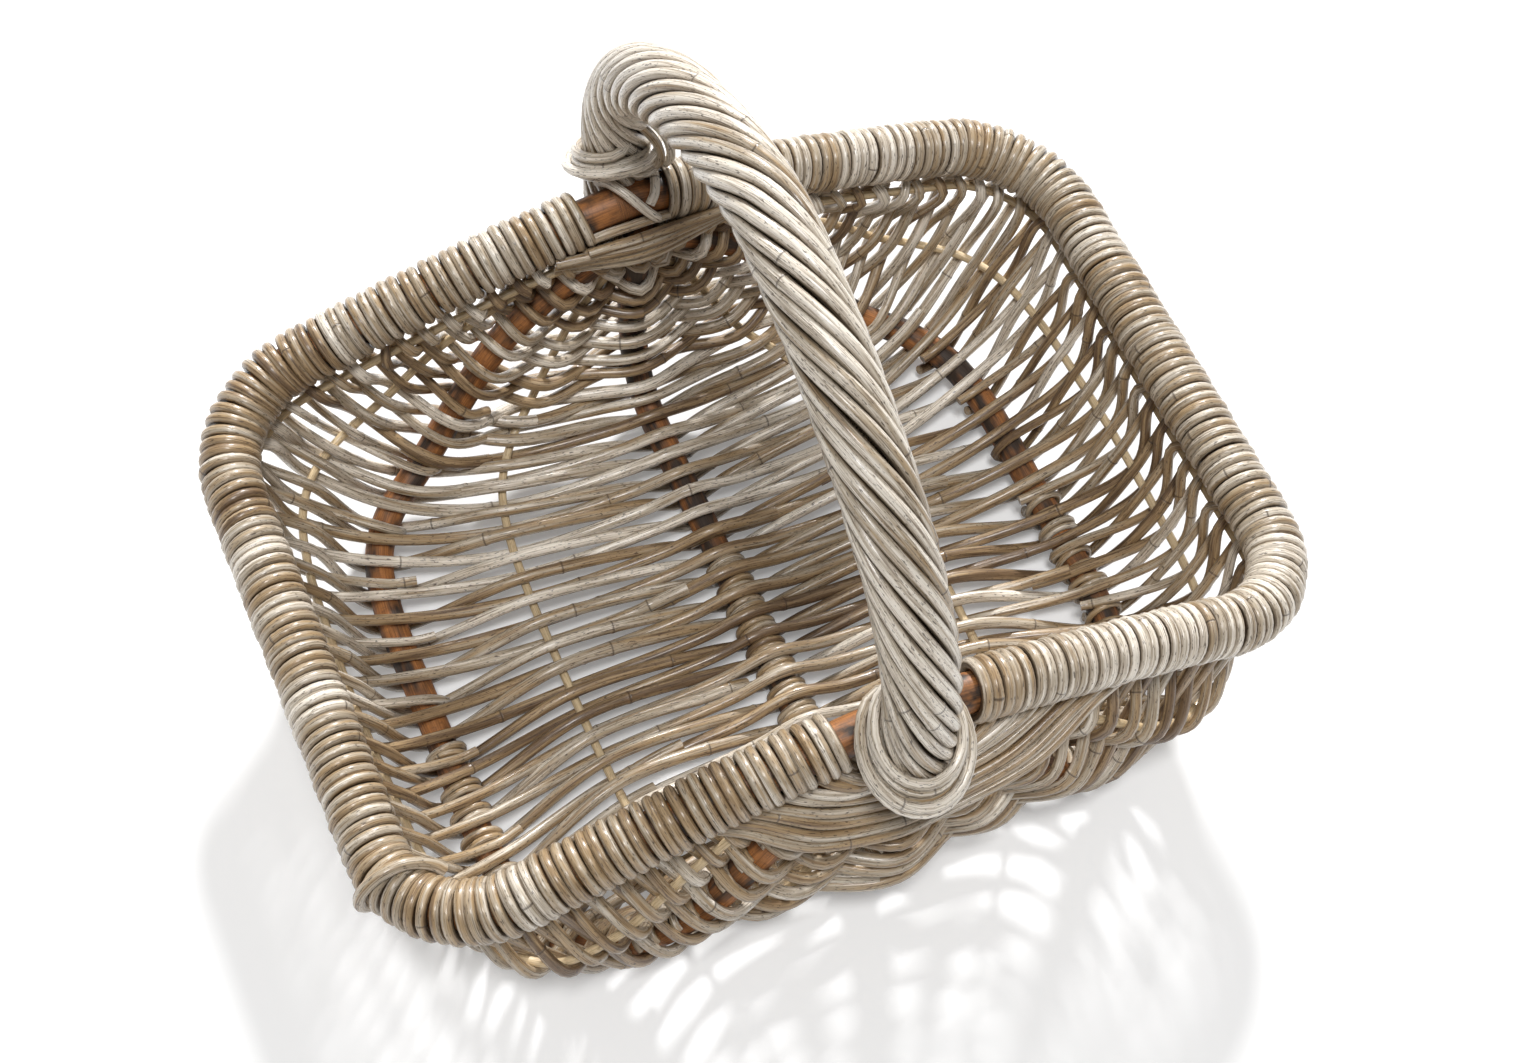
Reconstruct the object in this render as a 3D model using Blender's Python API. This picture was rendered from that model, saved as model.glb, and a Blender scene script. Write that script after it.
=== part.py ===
"""Rattan shopping basket: a rib basket on a saddle-shaped rim, with one roped handle.

Metres, +Z up. The origin is under the middle of the basket, on the plane it stands on.
X runs along the basket, Y across it, and the handle spans it in the plane X = 0.
The photographed front is at -Y.
"""

import math

import bmesh
import bpy
from mathutils import Vector

# Rim: a bent pole, lapped all round with cane
RIM_HALF_LENGTH = 0.243
RIM_HALF_WIDTH = 0.164
RIM_CORNER_RADIUS = 0.055
RIM_DROP = 0.063
RIM_DROP_POWER = 1.38
RIM_POLE_RADIUS = 0.010
LAPPED_RADIUS = 0.01625
BARE_HALF_LENGTH = 0.030

# Body: ribs and stakes from ear to ear, with the woven wall outside them
BODY_DEPTH = 0.170
FRONT_BULGE = 0.016
BULGE_START_DEPTH = 0.035
BULGE_FULL_DEPTH = 0.105
BULGE_FADE_WIDTH = 0.100
RIB_RADIUS = 0.008
STAKE_RADIUS = 0.0024
WALL_THICKNESS = 0.006
CREST_GAP = 0.0008
CREST_HALF_WIDTH = 0.004
SHOULDER_REACH = 0.003
SHOULDER_LIFT = 0.0036
ROW_RELIEF = 0.0045
EAR_GAP = 0.0013
REST_CUT = 0.0005

# Handle: a pole roped over with round cane, bound to the rim at both feet
HANDLE_HEIGHT = 0.184
HANDLE_RADIUS = 0.0185
HANDLE_VALLEY_DEPTH = 0.0022
HANDLE_CORE_RADIUS = 0.0093
HANDLE_STRAIGHT_HEIGHT = 0.0316
HANDLE_FOOT_DEPTH = 0.022
HANDLE_WIDTH_POWER = 1.327
HANDLE_RISE_POWER = 0.986
HANDLE_STRANDS = 12
HANDLE_LAY_ANGLE = math.radians(27.0)

# Bindings of the handle's feet
BINDING_CANE_RADIUS = 0.0028
BINDING_TURNS = 3
BINDING_PITCH = 0.0076
BINDING_START_HEIGHT = 0.0178
BINDING_SLOPE_SHARE = 0.68

# Cane lapping: each winding is one length of cane
WINDINGS_PER_SIDE = 4
LOOPS_PER_WINDING = 15
POINTS_PER_TWO_LOOPS = 13
LAPPING_HALF_WIDTH = 0.0042
LAPPING_CROWN_HALF_WIDTH = 0.0027
LAPPING_BASE_CLEARANCE = 0.0004
WINDING_END_GAP = 0.0014
LEAST_LOOP_GAP = 0.0004

CLEARANCE = 0.0003
SPLIT_GAP = 0.0004
STATIONS = 26
ROWS_PER_STATION = 3
WALL_START_SHARE = 0.006
HANDLE_STEPS = 24
SMOOTH_STEPS = 24
FINE_RIM_STEPS = (24, 24, 24)
POLE_STEPS = (7, 8, 3)
BINDING_POINTS_PER_LOOP = 10

# Worked out from the sizes above
CREST_INNER = RIB_RADIUS + CREST_GAP
CREST_OUTER = CREST_INNER + WALL_THICKNESS
RIM_HEIGHT = BODY_DEPTH + CREST_OUTER - REST_CUT
HANDLE_FOOT_Y = RIM_HALF_WIDTH + RIM_POLE_RADIUS + CLEARANCE * 2 + HANDLE_CORE_RADIUS
SHOULDER_SIDE = RIB_RADIUS + SHOULDER_REACH
TOP_STAKE_INSET = STAKE_RADIUS * 2 + WALL_THICKNESS / 2
TOP_STAKE_DOWN = LAPPED_RADIUS + WALL_THICKNESS + STAKE_RADIUS
INNER_STAKE_X = RIB_RADIUS + STAKE_RADIUS + EAR_GAP
SIDE_RIB_X = INNER_STAKE_X + STAKE_RADIUS + RIB_RADIUS + EAR_GAP
OUTER_STAKE_X = SIDE_RIB_X + RIB_RADIUS + STAKE_RADIUS + EAR_GAP
TOP_STAKE_X = OUTER_STAKE_X + STAKE_RADIUS * 2 + EAR_GAP * 2

# Paths of the back half, ear to middle, as shares of the rim's half length and half
# width and of the body's depth. The first x of each is its place in the fan at the ear.
KEEL_PATH_SHARES = (
    (0.0, 0.970, -0.290),
    (0.0, 1.000, -0.470),
    (0.0, 1.000, -0.690),
    (0.0, 0.963, -0.872),
    (0.0, 0.860, -0.975),
    (0.0, 0.700, -1.000),
    (0.0, 0.350, -1.000),
    (0.0, 0.0, -1.000),
)
INNER_STAKE_PATH_SHARES = (
    (None, 0.975, -0.280),
    (0.136, 0.990, -0.480),
    (0.206, 0.988, -0.690),
    (0.272, 0.957, -0.860),
    (0.337, 0.884, -0.935),
    (0.395, 0.756, -0.968),
    (0.428, 0.579, -0.976),
    (0.444, 0.305, -0.976),
    (0.446, 0.0, -0.976),
)
SIDE_RIB_PATH_SHARES = (
    (None, 0.980, -0.230),
    (0.222, 0.988, -0.355),
    (0.337, 0.982, -0.515),
    (0.440, 0.960, -0.725),
    (0.555, 0.893, -0.905),
    (0.665, 0.785, -0.975),
    (0.722, 0.655, -0.995),
    (0.750, 0.457, -0.997),
    (0.754, 0.0, -0.997),
)
OUTER_STAKE_PATH_SHARES = (
    (None, 0.982, -0.190),
    (0.309, 0.988, -0.300),
    (0.473, 0.988, -0.435),
    (0.617, 0.982, -0.612),
    (0.724, 0.957, -0.700),
    (0.806, 0.872, -0.716),
    (0.864, 0.732, -0.716),
    (0.897, 0.518, -0.716),
    (0.909, 0.244, -0.716),
    (0.914, 0.0, -0.716),
)
KEEL_TOP_SHARES = ((0.940, -0.074), (0.950, -0.180))


def clear_scene():
    for thing in list(bpy.data.objects):
        bpy.data.objects.remove(thing)


def material(name, colour, roughness):
    made = bpy.data.materials.new(name)
    made.use_nodes = True
    shader = made.node_tree.nodes["Principled BSDF"]
    shader.inputs["Base Color"].default_value = (*colour, 1.0)
    shader.inputs["Roughness"].default_value = roughness
    shader.inputs["Metallic"].default_value = 0.0
    return made


def add_object(name, mesh, finish):
    thing = bpy.data.objects.new(name, mesh)
    bpy.context.collection.objects.link(thing)
    mesh.materials.clear()
    mesh.materials.append(finish)
    mesh.shade_smooth()
    mesh.set_sharp_from_angle(angle=math.radians(40.0))
    return thing


def smooth_path(points):
    """A Catmull-Rom curve through the points, as many short steps."""
    ends = [points[0] * 2 - points[1]] + points + [points[-1] * 2 - points[-2]]
    path = []
    for a, b, c, d in zip(ends, ends[1:], ends[2:], ends[3:]):
        for step in range(SMOOTH_STEPS):
            u = step / SMOOTH_STEPS
            path.append(0.5 * (2 * b + (c - a) * u + (2 * a - 5 * b + 4 * c - d) * u ** 2
                               + (3 * b - a - 3 * c + d) * u ** 3))
    path.append(points[-1].copy())
    return path


def path_lengths(path):
    lengths = [0.0]
    for a, b in zip(path, path[1:]):
        lengths.append(lengths[-1] + (b - a).length)
    return lengths


def even_points(path, steps, start_share=0.0, end_share=1.0):
    """Points at even spacing along a path, between two shares of its length."""
    lengths = path_lengths(path)
    points = []
    index = 0
    for step in range(steps + 1):
        share = start_share + (end_share - start_share) * step / steps
        target = share * lengths[-1]
        while index < len(path) - 2 and lengths[index + 1] < target:
            index += 1
        span = lengths[index + 1] - lengths[index]
        points.append(path[index].lerp(path[index + 1], (target - lengths[index]) / span))
    return points


def rim_drop(x):
    """How far the rim has sunk below its middle at a distance x along the basket."""
    return RIM_DROP * (abs(x) / RIM_HALF_LENGTH) ** RIM_DROP_POWER


def rim_slope(x):
    return RIM_DROP_POWER * RIM_DROP / RIM_HALF_LENGTH * (abs(x) / RIM_HALF_LENGTH) ** (RIM_DROP_POWER - 1)


def rim_half(start_x, inset=0.0, down=0.0, steps=FINE_RIM_STEPS):
    """The +X half of the rim from the back ear to the front ear, moved in and down.

    The steps are those along a long side, round a corner and along half an end.
    """
    side_steps, corner_steps, end_steps = steps
    half_length = RIM_HALF_LENGTH - inset
    half_width = RIM_HALF_WIDTH - inset
    radius = RIM_CORNER_RADIUS - inset
    corner_x = half_length - radius
    corner_y = half_width - radius
    quarter = []
    for step in range(side_steps):
        quarter.append((start_x + (corner_x - start_x) * step / side_steps, half_width))
    for step in range(corner_steps):
        angle = math.pi / 2 * step / corner_steps
        quarter.append((corner_x + radius * math.sin(angle), corner_y + radius * math.cos(angle)))
    for step in range(end_steps):
        quarter.append((half_length, corner_y * (1 - step / end_steps)))
    flat = quarter + [(half_length, 0.0)] + [(x, -y) for x, y in reversed(quarter)]
    return [Vector((x, y, RIM_HEIGHT - rim_drop(x) - down)) for x, y in flat]


def bulge(depth, half_width):
    """How much further out the front wall stands than the back one."""
    share = (depth - BULGE_START_DEPTH) / (BULGE_FULL_DEPTH - BULGE_START_DEPTH)
    share = min(1.0, max(0.0, share))
    return FRONT_BULGE * math.sin(math.pi / 2 * share) * min(1.0, half_width / BULGE_FADE_WIDTH)


def member_path(shares, first_x):
    """A rib or stake from the back ear under the body to the front ear, on the +X side."""
    corners = []
    for x_share, y_share, z_share in shares:
        x = first_x if x_share is None else x_share * RIM_HALF_LENGTH
        corners.append(Vector((x, y_share * RIM_HALF_WIDTH, RIM_HEIGHT + z_share * BODY_DEPTH)))
    back = smooth_path(corners)
    front = []
    for point in reversed(back[:-1]):
        out = bulge(RIM_HEIGHT - point.z, point.y)
        front.append(Vector((point.x, -point.y - out, point.z)))
    return back + front


def mirrored(points):
    return [Vector((-point.x, point.y, point.z)) for point in points]


def tube_mesh(name, points, radius, resolution, cyclic=False):
    """A round bar along the points, as the mesh of a bevelled curve."""
    curve = bpy.data.curves.new(name, "CURVE")
    curve.dimensions = "3D"
    curve.bevel_depth = radius
    curve.bevel_resolution = resolution
    curve.use_fill_caps = not cyclic
    spline = curve.splines.new("POLY")
    spline.points.add(len(points) - 1)
    for target, point in zip(spline.points, points):
        target.co = (*point, 1.0)
    spline.use_cyclic_u = cyclic
    guide = bpy.data.objects.new(name + "_guide", curve)
    bpy.context.collection.objects.link(guide)
    view = bpy.context.evaluated_depsgraph_get()
    view.update()
    mesh = bpy.data.meshes.new_from_object(guide.evaluated_get(view))
    mesh.name = name
    bpy.data.objects.remove(guide)
    bpy.data.curves.remove(curve)
    shape = bmesh.new()
    shape.from_mesh(mesh)
    bmesh.ops.remove_doubles(shape, verts=shape.verts, dist=CLEARANCE / 30)
    bmesh.ops.recalc_face_normals(shape, faces=shape.faces)
    shape.to_mesh(mesh)
    shape.free()
    return mesh


def nearest_index(place, points):
    return min(range(len(points)), key=lambda index: (points[index] - place).length)


def swept_mesh(name, sections, plain_corners=0):
    """A solid made by extruding the first section through all the others.

    Where a wall's first corners lie on its plain inner face, that face keeps only the stations' edges.
    """
    shape = bmesh.new()
    previous = sections[0]
    face = shape.faces.new([shape.verts.new(point) for point in previous])
    spare = []
    for number, section in enumerate(sections[1:]):
        passed = face
        pushed = bmesh.ops.extrude_face_region(shape, geom=[passed])
        face = [part for part in pushed["geom"] if isinstance(part, bmesh.types.BMFace)][0]
        if number > 0:
            shape.faces.remove(passed)
        places = {corner: nearest_index(corner.co, previous) for corner in face.verts}
        for corner, index in places.items():
            corner.co = section[index]
        if (number + 1) % ROWS_PER_STATION > 0:
            spare += [edge for edge in face.edges if max(places[end] for end in edge.verts) < plain_corners]
        previous = section
    bmesh.ops.dissolve_edges(shape, edges=spare, use_verts=True)
    bmesh.ops.triangulate(shape, faces=shape.faces)
    bmesh.ops.recalc_face_normals(shape, faces=shape.faces)
    mesh = bpy.data.meshes.new(name)
    shape.to_mesh(mesh)
    shape.free()
    return mesh


def cut_away(thing, cutter_mesh):
    """Takes a hidden cutter out of a solid."""
    cutter = bpy.data.objects.new(thing.name + "_cutter", cutter_mesh)
    bpy.context.collection.objects.link(cutter)
    cutter.hide_render = True
    cutter.display_type = "WIRE"
    cut = thing.modifiers.new("cut", "BOOLEAN")
    cut.operation = "DIFFERENCE"
    cut.solver = "EXACT"
    cut.object = cutter


def station_points(path):
    """The stations of a member: its two ends, with the wall's rows evenly between."""
    wall = even_points(path, STATIONS, WALL_START_SHARE, 1 - WALL_START_SHARE)
    return [path[0]] + wall + [path[-1]]


def row_points(stations):
    """The rows of the weave along a member: its wall stations and the rows between them."""
    rows = []
    for start, end in zip(stations[1:-1], stations[2:-1]):
        rows += [start.lerp(end, step / ROWS_PER_STATION) for step in range(ROWS_PER_STATION)]
    return rows + [stations[-2]]


def member_frames(stations, inner_stations, outer_stations):
    """At each row: the place, the direction across the member, and the way out."""
    path, inner_path, outer_path = (row_points(each) for each in (stations, inner_stations, outer_stations))
    frames = []
    for index, place in enumerate(path):
        along = path[min(index + 1, len(path) - 1)] - path[max(index - 1, 0)]
        across = outer_path[index] - inner_path[index]
        out = across.cross(along).normalized()
        side = along.cross(out).normalized()
        frames.append((place, side, out))
    return frames


def row_thickness(row, member):
    """The wall is full where a row passes outside a member, and thinner where it passes inside.

    The members count from the keel, 0, to the top stake, 4. Rows alternate, and so do members.
    """
    return WALL_THICKNESS if (row + member) % 2 == 0 else WALL_THICKNESS - ROW_RELIEF


def crest_points(frame, direction, thickness):
    """Side and lift of the wall where it climbs over a rib, from crown to shoulder."""
    place, side, out = frame
    profile = (
        (SPLIT_GAP / 2, CREST_INNER),
        (CREST_HALF_WIDTH, CREST_INNER),
        (SHOULDER_SIDE, SHOULDER_LIFT),
    )
    inner = [place + side * (direction * reach) + out * lift for reach, lift in profile]
    return inner, [point + out * thickness for point in inner]


def stake_points(frame, thickness):
    place, _, out = frame
    inner = place + out * (STAKE_RADIUS + CLEARANCE)
    return inner, inner + out * thickness


def wall_section(inner, outer):
    return inner + outer[::-1]


def floor_wall_sections(keel, stake, rib):
    """The woven wall from the keel's crown over the inner stake to the side rib's crown."""
    sections = []
    for row, (keel_frame, stake_frame, rib_frame) in enumerate(zip(keel, stake, rib)):
        near_in, near_out = crest_points(keel_frame, 1, row_thickness(row, 0))
        mid_in, mid_out = stake_points(stake_frame, row_thickness(row, 1))
        far_in, far_out = crest_points(rib_frame, -1, row_thickness(row, 2))
        sections.append(wall_section(near_in + [mid_in] + far_in[::-1],
                                     near_out + [mid_out] + far_out[::-1]))
    return sections


def side_wall_sections(rib, stake, top):
    """The woven wall from the side rib's crown over two stakes up to the rim's lapping."""
    sections = []
    for row, (rib_frame, stake_frame, top_frame) in enumerate(zip(rib, stake, top)):
        near_in, near_out = crest_points(rib_frame, 1, row_thickness(row, 2))
        mid_in, mid_out = stake_points(stake_frame, row_thickness(row, 3))
        edge_in, edge_out = stake_points(top_frame, row_thickness(row, 4))
        lip_in = lip_point(edge_in)
        lip_out = lip_point(edge_out)
        sections.append(wall_section(near_in + [mid_in, edge_in, lip_in],
                                     near_out + [mid_out, edge_out, lip_out]))
    return sections


def lip_point(point):
    """The wall's top edge straight above a point, just under the lapped rim."""
    slope = rim_slope(point.x)
    under = LAPPED_RADIUS * math.sqrt(1 + slope ** 2) + CLEARANCE * 2
    return Vector((point.x, point.y, RIM_HEIGHT - rim_drop(point.x) - under))


def turned_frame(path, index):
    """Tangent, level side and rise at a point of a path round the rim."""
    along = (path[min(index + 1, len(path) - 1)] - path[max(index - 1, 0)]).normalized()
    side = along.cross(Vector((0, 0, 1))).normalized()
    return along, side, side.cross(along)


def lapping_sections(path):
    """One length of cane wound round the rim, flat below and crowned, in one unbroken run.

    A turn has six and a half points, so each turn's corners lie between its neighbour's.
    """
    steps = LOOPS_PER_WINDING * POINTS_PER_TWO_LOOPS // 2
    points = even_points(path, steps)
    sections = []
    turn = math.tau * 2 / POINTS_PER_TWO_LOOPS
    base = (RIM_POLE_RADIUS + LAPPING_BASE_CLEARANCE) / math.cos(turn / 2)
    for index, point in enumerate(points):
        along, side, rise = turned_frame(points, index)
        outward = side * math.cos(turn * index) + rise * math.sin(turn * index)
        sections.append([point + outward * base - along * LAPPING_HALF_WIDTH,
                         point + outward * base + along * LAPPING_HALF_WIDTH,
                         point + outward * LAPPED_RADIUS + along * LAPPING_CROWN_HALF_WIDTH,
                         point + outward * LAPPED_RADIUS - along * LAPPING_CROWN_HALF_WIDTH])
    return sections


def least_gap(rows, per_loop):
    """Least distance between the edges of one turn and the points of the next."""
    gaps = []
    for index, row in enumerate(rows):
        for ahead in range(per_loop - 1, per_loop + 2):
            if index + ahead + 1 < len(rows):
                for start, end in zip(rows[index + ahead], rows[index + ahead + 1]):
                    gaps += [point_to_edge(point, start, end) for point in row]
    return min(gaps)


def point_to_edge(point, start, end):
    edge = end - start
    share = min(1.0, max(0.0, (point - start).dot(edge) / edge.length_squared))
    return (start + edge * share - point).length


def handle_path():
    """The handle's middle line from the back foot over the top to the front foot."""
    arch = []
    steps = SMOOTH_STEPS * 6
    rise = HANDLE_HEIGHT - HANDLE_STRAIGHT_HEIGHT
    for step in range(steps + 1):
        angle = math.pi * step / steps
        across = abs(math.cos(angle)) ** HANDLE_WIDTH_POWER * math.copysign(1, math.cos(angle))
        up = max(0.0, math.sin(angle)) ** HANDLE_RISE_POWER
        arch.append(Vector((0, HANDLE_FOOT_Y * across, RIM_HEIGHT + HANDLE_STRAIGHT_HEIGHT + rise * up)))
    foot_z = RIM_HEIGHT - HANDLE_FOOT_DEPTH
    return [Vector((0, HANDLE_FOOT_Y, foot_z))] + arch + [Vector((0, -HANDLE_FOOT_Y, foot_z))]


def roping_sections(path):
    """The roped cane over the handle: one fluted, twisted bar, later bored for the core."""
    points = even_points(path, HANDLE_STEPS)
    length = path_lengths(path)[-1]
    mean_radius = HANDLE_RADIUS - HANDLE_VALLEY_DEPTH
    turn_per_step = math.tan(HANDLE_LAY_ANGLE) / mean_radius * length / HANDLE_STEPS
    sections = []
    for index, point in enumerate(points):
        along = (points[min(index + 1, HANDLE_STEPS)] - points[max(index - 1, 0)]).normalized()
        across = Vector((1, 0, 0))
        rise = across.cross(along)
        ring = []
        for corner in range(HANDLE_STRANDS * 2):
            angle = math.tau * corner / (HANDLE_STRANDS * 2) + turn_per_step * index
            radius = HANDLE_RADIUS if corner % 2 == 0 else HANDLE_RADIUS - HANDLE_VALLEY_DEPTH
            ring.append(point + (across * math.cos(angle) + rise * math.sin(angle)) * radius)
        sections.append(ring)
    return sections


def binding_points(end):
    """Three sloping turns of cane round one foot, over the rim inside and low outside."""
    reach = HANDLE_RADIUS + BINDING_CANE_RADIUS
    reach = reach / math.cos(math.pi / BINDING_POINTS_PER_LOOP)
    points = []
    for index in range(BINDING_TURNS * BINDING_POINTS_PER_LOOP + 1):
        angle = math.tau * index / BINDING_POINTS_PER_LOOP
        outward = -reach * math.cos(angle)
        height = BINDING_START_HEIGHT - BINDING_SLOPE_SHARE * (outward + reach)
        height += BINDING_PITCH * index / BINDING_POINTS_PER_LOOP
        points.append(Vector((reach * math.sin(angle), end * (HANDLE_FOOT_Y + outward),
                              RIM_HEIGHT + height)))
    return points


def floor_cutter():
    """A block below the plane that the basket stands on."""
    block = bmesh.new()
    bmesh.ops.create_cube(block, size=1.0)
    size = Vector((RIM_HALF_LENGTH * 3, RIM_HALF_WIDTH * 3, WALL_THICKNESS))
    bmesh.ops.scale(block, vec=size, verts=block.verts)
    bmesh.ops.translate(block, vec=(0, 0, -WALL_THICKNESS / 2), verts=block.verts)
    mesh = bpy.data.meshes.new("floor_cutter")
    block.to_mesh(mesh)
    block.free()
    return mesh


def pole_ring():
    half = rim_half(0.0, steps=POLE_STEPS)
    return half + mirrored(half)[::-1][1:-1]


def build_rim(pole_finish, cane_finish):
    pole = tube_mesh("rim_pole", pole_ring(), RIM_POLE_RADIUS, 2, cyclic=True)
    add_object("rim_pole", pole, pole_finish)
    lapped = rim_half(BARE_HALF_LENGTH)
    length = path_lengths(lapped)[-1]
    ends = (LAPPING_HALF_WIDTH + WINDING_END_GAP) / length
    gaps = []
    for number in range(WINDINGS_PER_SIDE):
        start = number / WINDINGS_PER_SIDE + ends
        stop = (number + 1) / WINDINGS_PER_SIDE - ends
        run = even_points(lapped, LOOPS_PER_WINDING * 4, start, stop)
        sections = lapping_sections(run)
        gaps.append(least_gap(sections, POINTS_PER_TWO_LOOPS // 2))
        mesh = swept_mesh("right_rim_lapping_" + str(number + 1), sections)
        add_object(mesh.name, mesh, cane_finish)
        other = swept_mesh("left_rim_lapping_" + str(number + 1), [mirrored(row) for row in sections])
        add_object(other.name, other, cane_finish)
    print("least gap between turns of the rim's lapping, mm:", round(min(gaps) / 0.001, 2))
    return min(gaps)


def build_body(rib_finish, stake_finish, wall_finish):
    keel = station_points(member_path(KEEL_PATH_SHARES, 0.0))
    inner = station_points(member_path(INNER_STAKE_PATH_SHARES, INNER_STAKE_X))
    rib = station_points(member_path(SIDE_RIB_PATH_SHARES, SIDE_RIB_X))
    outer = station_points(member_path(OUTER_STAKE_PATH_SHARES, OUTER_STAKE_X))
    top = station_points(rim_half(TOP_STAKE_X, TOP_STAKE_INSET, TOP_STAKE_DOWN))
    rim = station_points(rim_half(TOP_STAKE_X))

    tops = [Vector((0, y * RIM_HALF_WIDTH, RIM_HEIGHT + z * BODY_DEPTH)) for y, z in KEEL_TOP_SHARES]
    keel_bar = tops + keel + [Vector((0, -point.y, point.z)) for point in tops[::-1]]
    add_object("keel_rib", tube_mesh("keel_rib", keel_bar, RIB_RADIUS, 2), rib_finish)
    for side_name, flip in (("right", False), ("left", True)):
        for name, path, radius, resolution, finish in (
            ("side_rib", rib, RIB_RADIUS, 2, rib_finish),
            ("inner_stake", inner, STAKE_RADIUS, 0, stake_finish),
            ("outer_stake", outer, STAKE_RADIUS, 0, stake_finish),
            ("top_stake", top, STAKE_RADIUS, 0, stake_finish),
        ):
            points = mirrored(path) if flip else path
            full_name = side_name + "_" + name
            add_object(full_name, tube_mesh(full_name, points, radius, resolution), finish)

    keel_frames = member_frames(keel, mirrored(inner), inner)
    inner_frames = member_frames(inner, keel, rib)
    rib_frames = member_frames(rib, inner, outer)
    outer_frames = member_frames(outer, rib, top)
    top_frames = member_frames(top, outer, rim)
    floor_rows = floor_wall_sections(keel_frames, inner_frames, rib_frames)
    side_rows = side_wall_sections(rib_frames, outer_frames, top_frames)
    for side_name, flip in (("right", False), ("left", True)):
        for name, rows in (("floor_weave", floor_rows), ("side_weave", side_rows)):
            placed = [mirrored(row) for row in rows] if flip else rows
            full_name = side_name + "_" + name
            mesh = swept_mesh(full_name, placed, plain_corners=len(placed[0]) // 2)
            wall = add_object(full_name, mesh, wall_finish)
            if name == "floor_weave":
                cut_away(wall, floor_cutter())


def build_handle(pole_finish, cane_finish):
    path = handle_path()
    core = even_points(path, HANDLE_STEPS)
    add_object("handle_core", tube_mesh("handle_core", core, HANDLE_CORE_RADIUS, 2), pole_finish)
    roping = add_object("handle_roping", swept_mesh("handle_roping", roping_sections(path)), cane_finish)
    longer = [core[0] + (core[0] - core[1])] + core + [core[-1] + (core[-1] - core[-2])]
    cut_away(roping, tube_mesh("core_bore", longer, HANDLE_CORE_RADIUS + CLEARANCE, 2))
    notch = tube_mesh("pole_notch", pole_ring(), RIM_POLE_RADIUS + CLEARANCE, 2, cyclic=True)
    cut_away(roping, notch)
    gaps = []
    for name, end in (("back_foot_binding", 1), ("front_foot_binding", -1)):
        points = binding_points(end)
        add_object(name, tube_mesh(name, points, BINDING_CANE_RADIUS, 0), cane_finish)
        gap = least_gap([[point] for point in points], BINDING_POINTS_PER_LOOP)
        gaps.append(gap - BINDING_CANE_RADIUS * 2)
    print("least gap between turns of the foot bindings, mm:", round(min(gaps) / 0.001, 2))
    return min(gaps)


def main():
    clear_scene()
    peeled_pole = material("peeled_rattan_pole", (0.42, 0.17, 0.07), 0.5)
    rib_bark = material("stained_rattan_rib", (0.20, 0.09, 0.05), 0.6)
    stake_cane = material("pale_split_stake", (0.72, 0.52, 0.28), 0.55)
    grey_cane = material("weathered_grey_cane", (0.42, 0.36, 0.28), 0.55)
    lapping_gap = build_rim(peeled_pole, grey_cane)
    build_body(rib_bark, stake_cane, grey_cane)
    binding_gap = build_handle(peeled_pole, grey_cane)
    if min(lapping_gap, binding_gap) <= LEAST_LOOP_GAP:
        print("turns closer than the least gap")


main()
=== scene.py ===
"""Rattan shopping basket: the looks of the canes, the lapped rim, the roped handle and the stage.

Metres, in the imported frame: X along the basket, Y across it to the back, Z up, origin on the floor.
"""

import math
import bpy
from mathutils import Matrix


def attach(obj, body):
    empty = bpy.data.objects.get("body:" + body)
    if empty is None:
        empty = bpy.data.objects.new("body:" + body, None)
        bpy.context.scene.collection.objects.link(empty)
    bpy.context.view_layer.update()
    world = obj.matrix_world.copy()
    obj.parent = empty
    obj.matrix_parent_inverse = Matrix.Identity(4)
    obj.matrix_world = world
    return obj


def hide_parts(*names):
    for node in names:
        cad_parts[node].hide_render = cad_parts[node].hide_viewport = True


bl_info = {
    "name": "Rattan shopping basket",
    "version": (1, 0, 0),
    "blender": (4, 5, 0),
    "location": "View3D > Sidebar > Basket",
    "description": "Dresses the basket's frame in woven cane and sets the stage",
    "category": "Object",
}

import bmesh
import bpy
import numpy as np
from bpy.props import FloatProperty, FloatVectorProperty, IntProperty, PointerProperty
from mathutils import Matrix, Vector

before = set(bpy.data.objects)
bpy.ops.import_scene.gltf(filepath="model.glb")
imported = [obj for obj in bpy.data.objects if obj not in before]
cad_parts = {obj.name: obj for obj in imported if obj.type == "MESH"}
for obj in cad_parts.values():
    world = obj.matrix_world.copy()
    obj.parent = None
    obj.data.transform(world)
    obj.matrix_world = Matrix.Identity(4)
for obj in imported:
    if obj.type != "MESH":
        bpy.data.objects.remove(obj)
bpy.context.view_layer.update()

# Rim and body, as the frame has them
RIM_HALF_LENGTH = 0.243
RIM_HALF_WIDTH = 0.164
RIM_CORNER_RADIUS = 0.055
RIM_DROP = 0.063
RIM_DROP_POWER = 1.38
RIM_POLE_RADIUS = 0.010
RIM_HEIGHT = 0.1843
LAPPED_RADIUS = 0.01625
BODY_DEPTH = 0.170
FRONT_BULGE = 0.016
BULGE_START_DEPTH = 0.035
BULGE_FULL_DEPTH = 0.105
BULGE_FADE_WIDTH = 0.100
RIB_RADIUS = 0.008
STAKE_RADIUS = 0.0024
TOP_STAKE_INSET = 0.0078
TOP_STAKE_DOWN = 0.02465
INNER_STAKE_X = 0.0117
SIDE_RIB_X = 0.0234
OUTER_STAKE_X = 0.0351
TOP_STAKE_X = 0.0425

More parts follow.
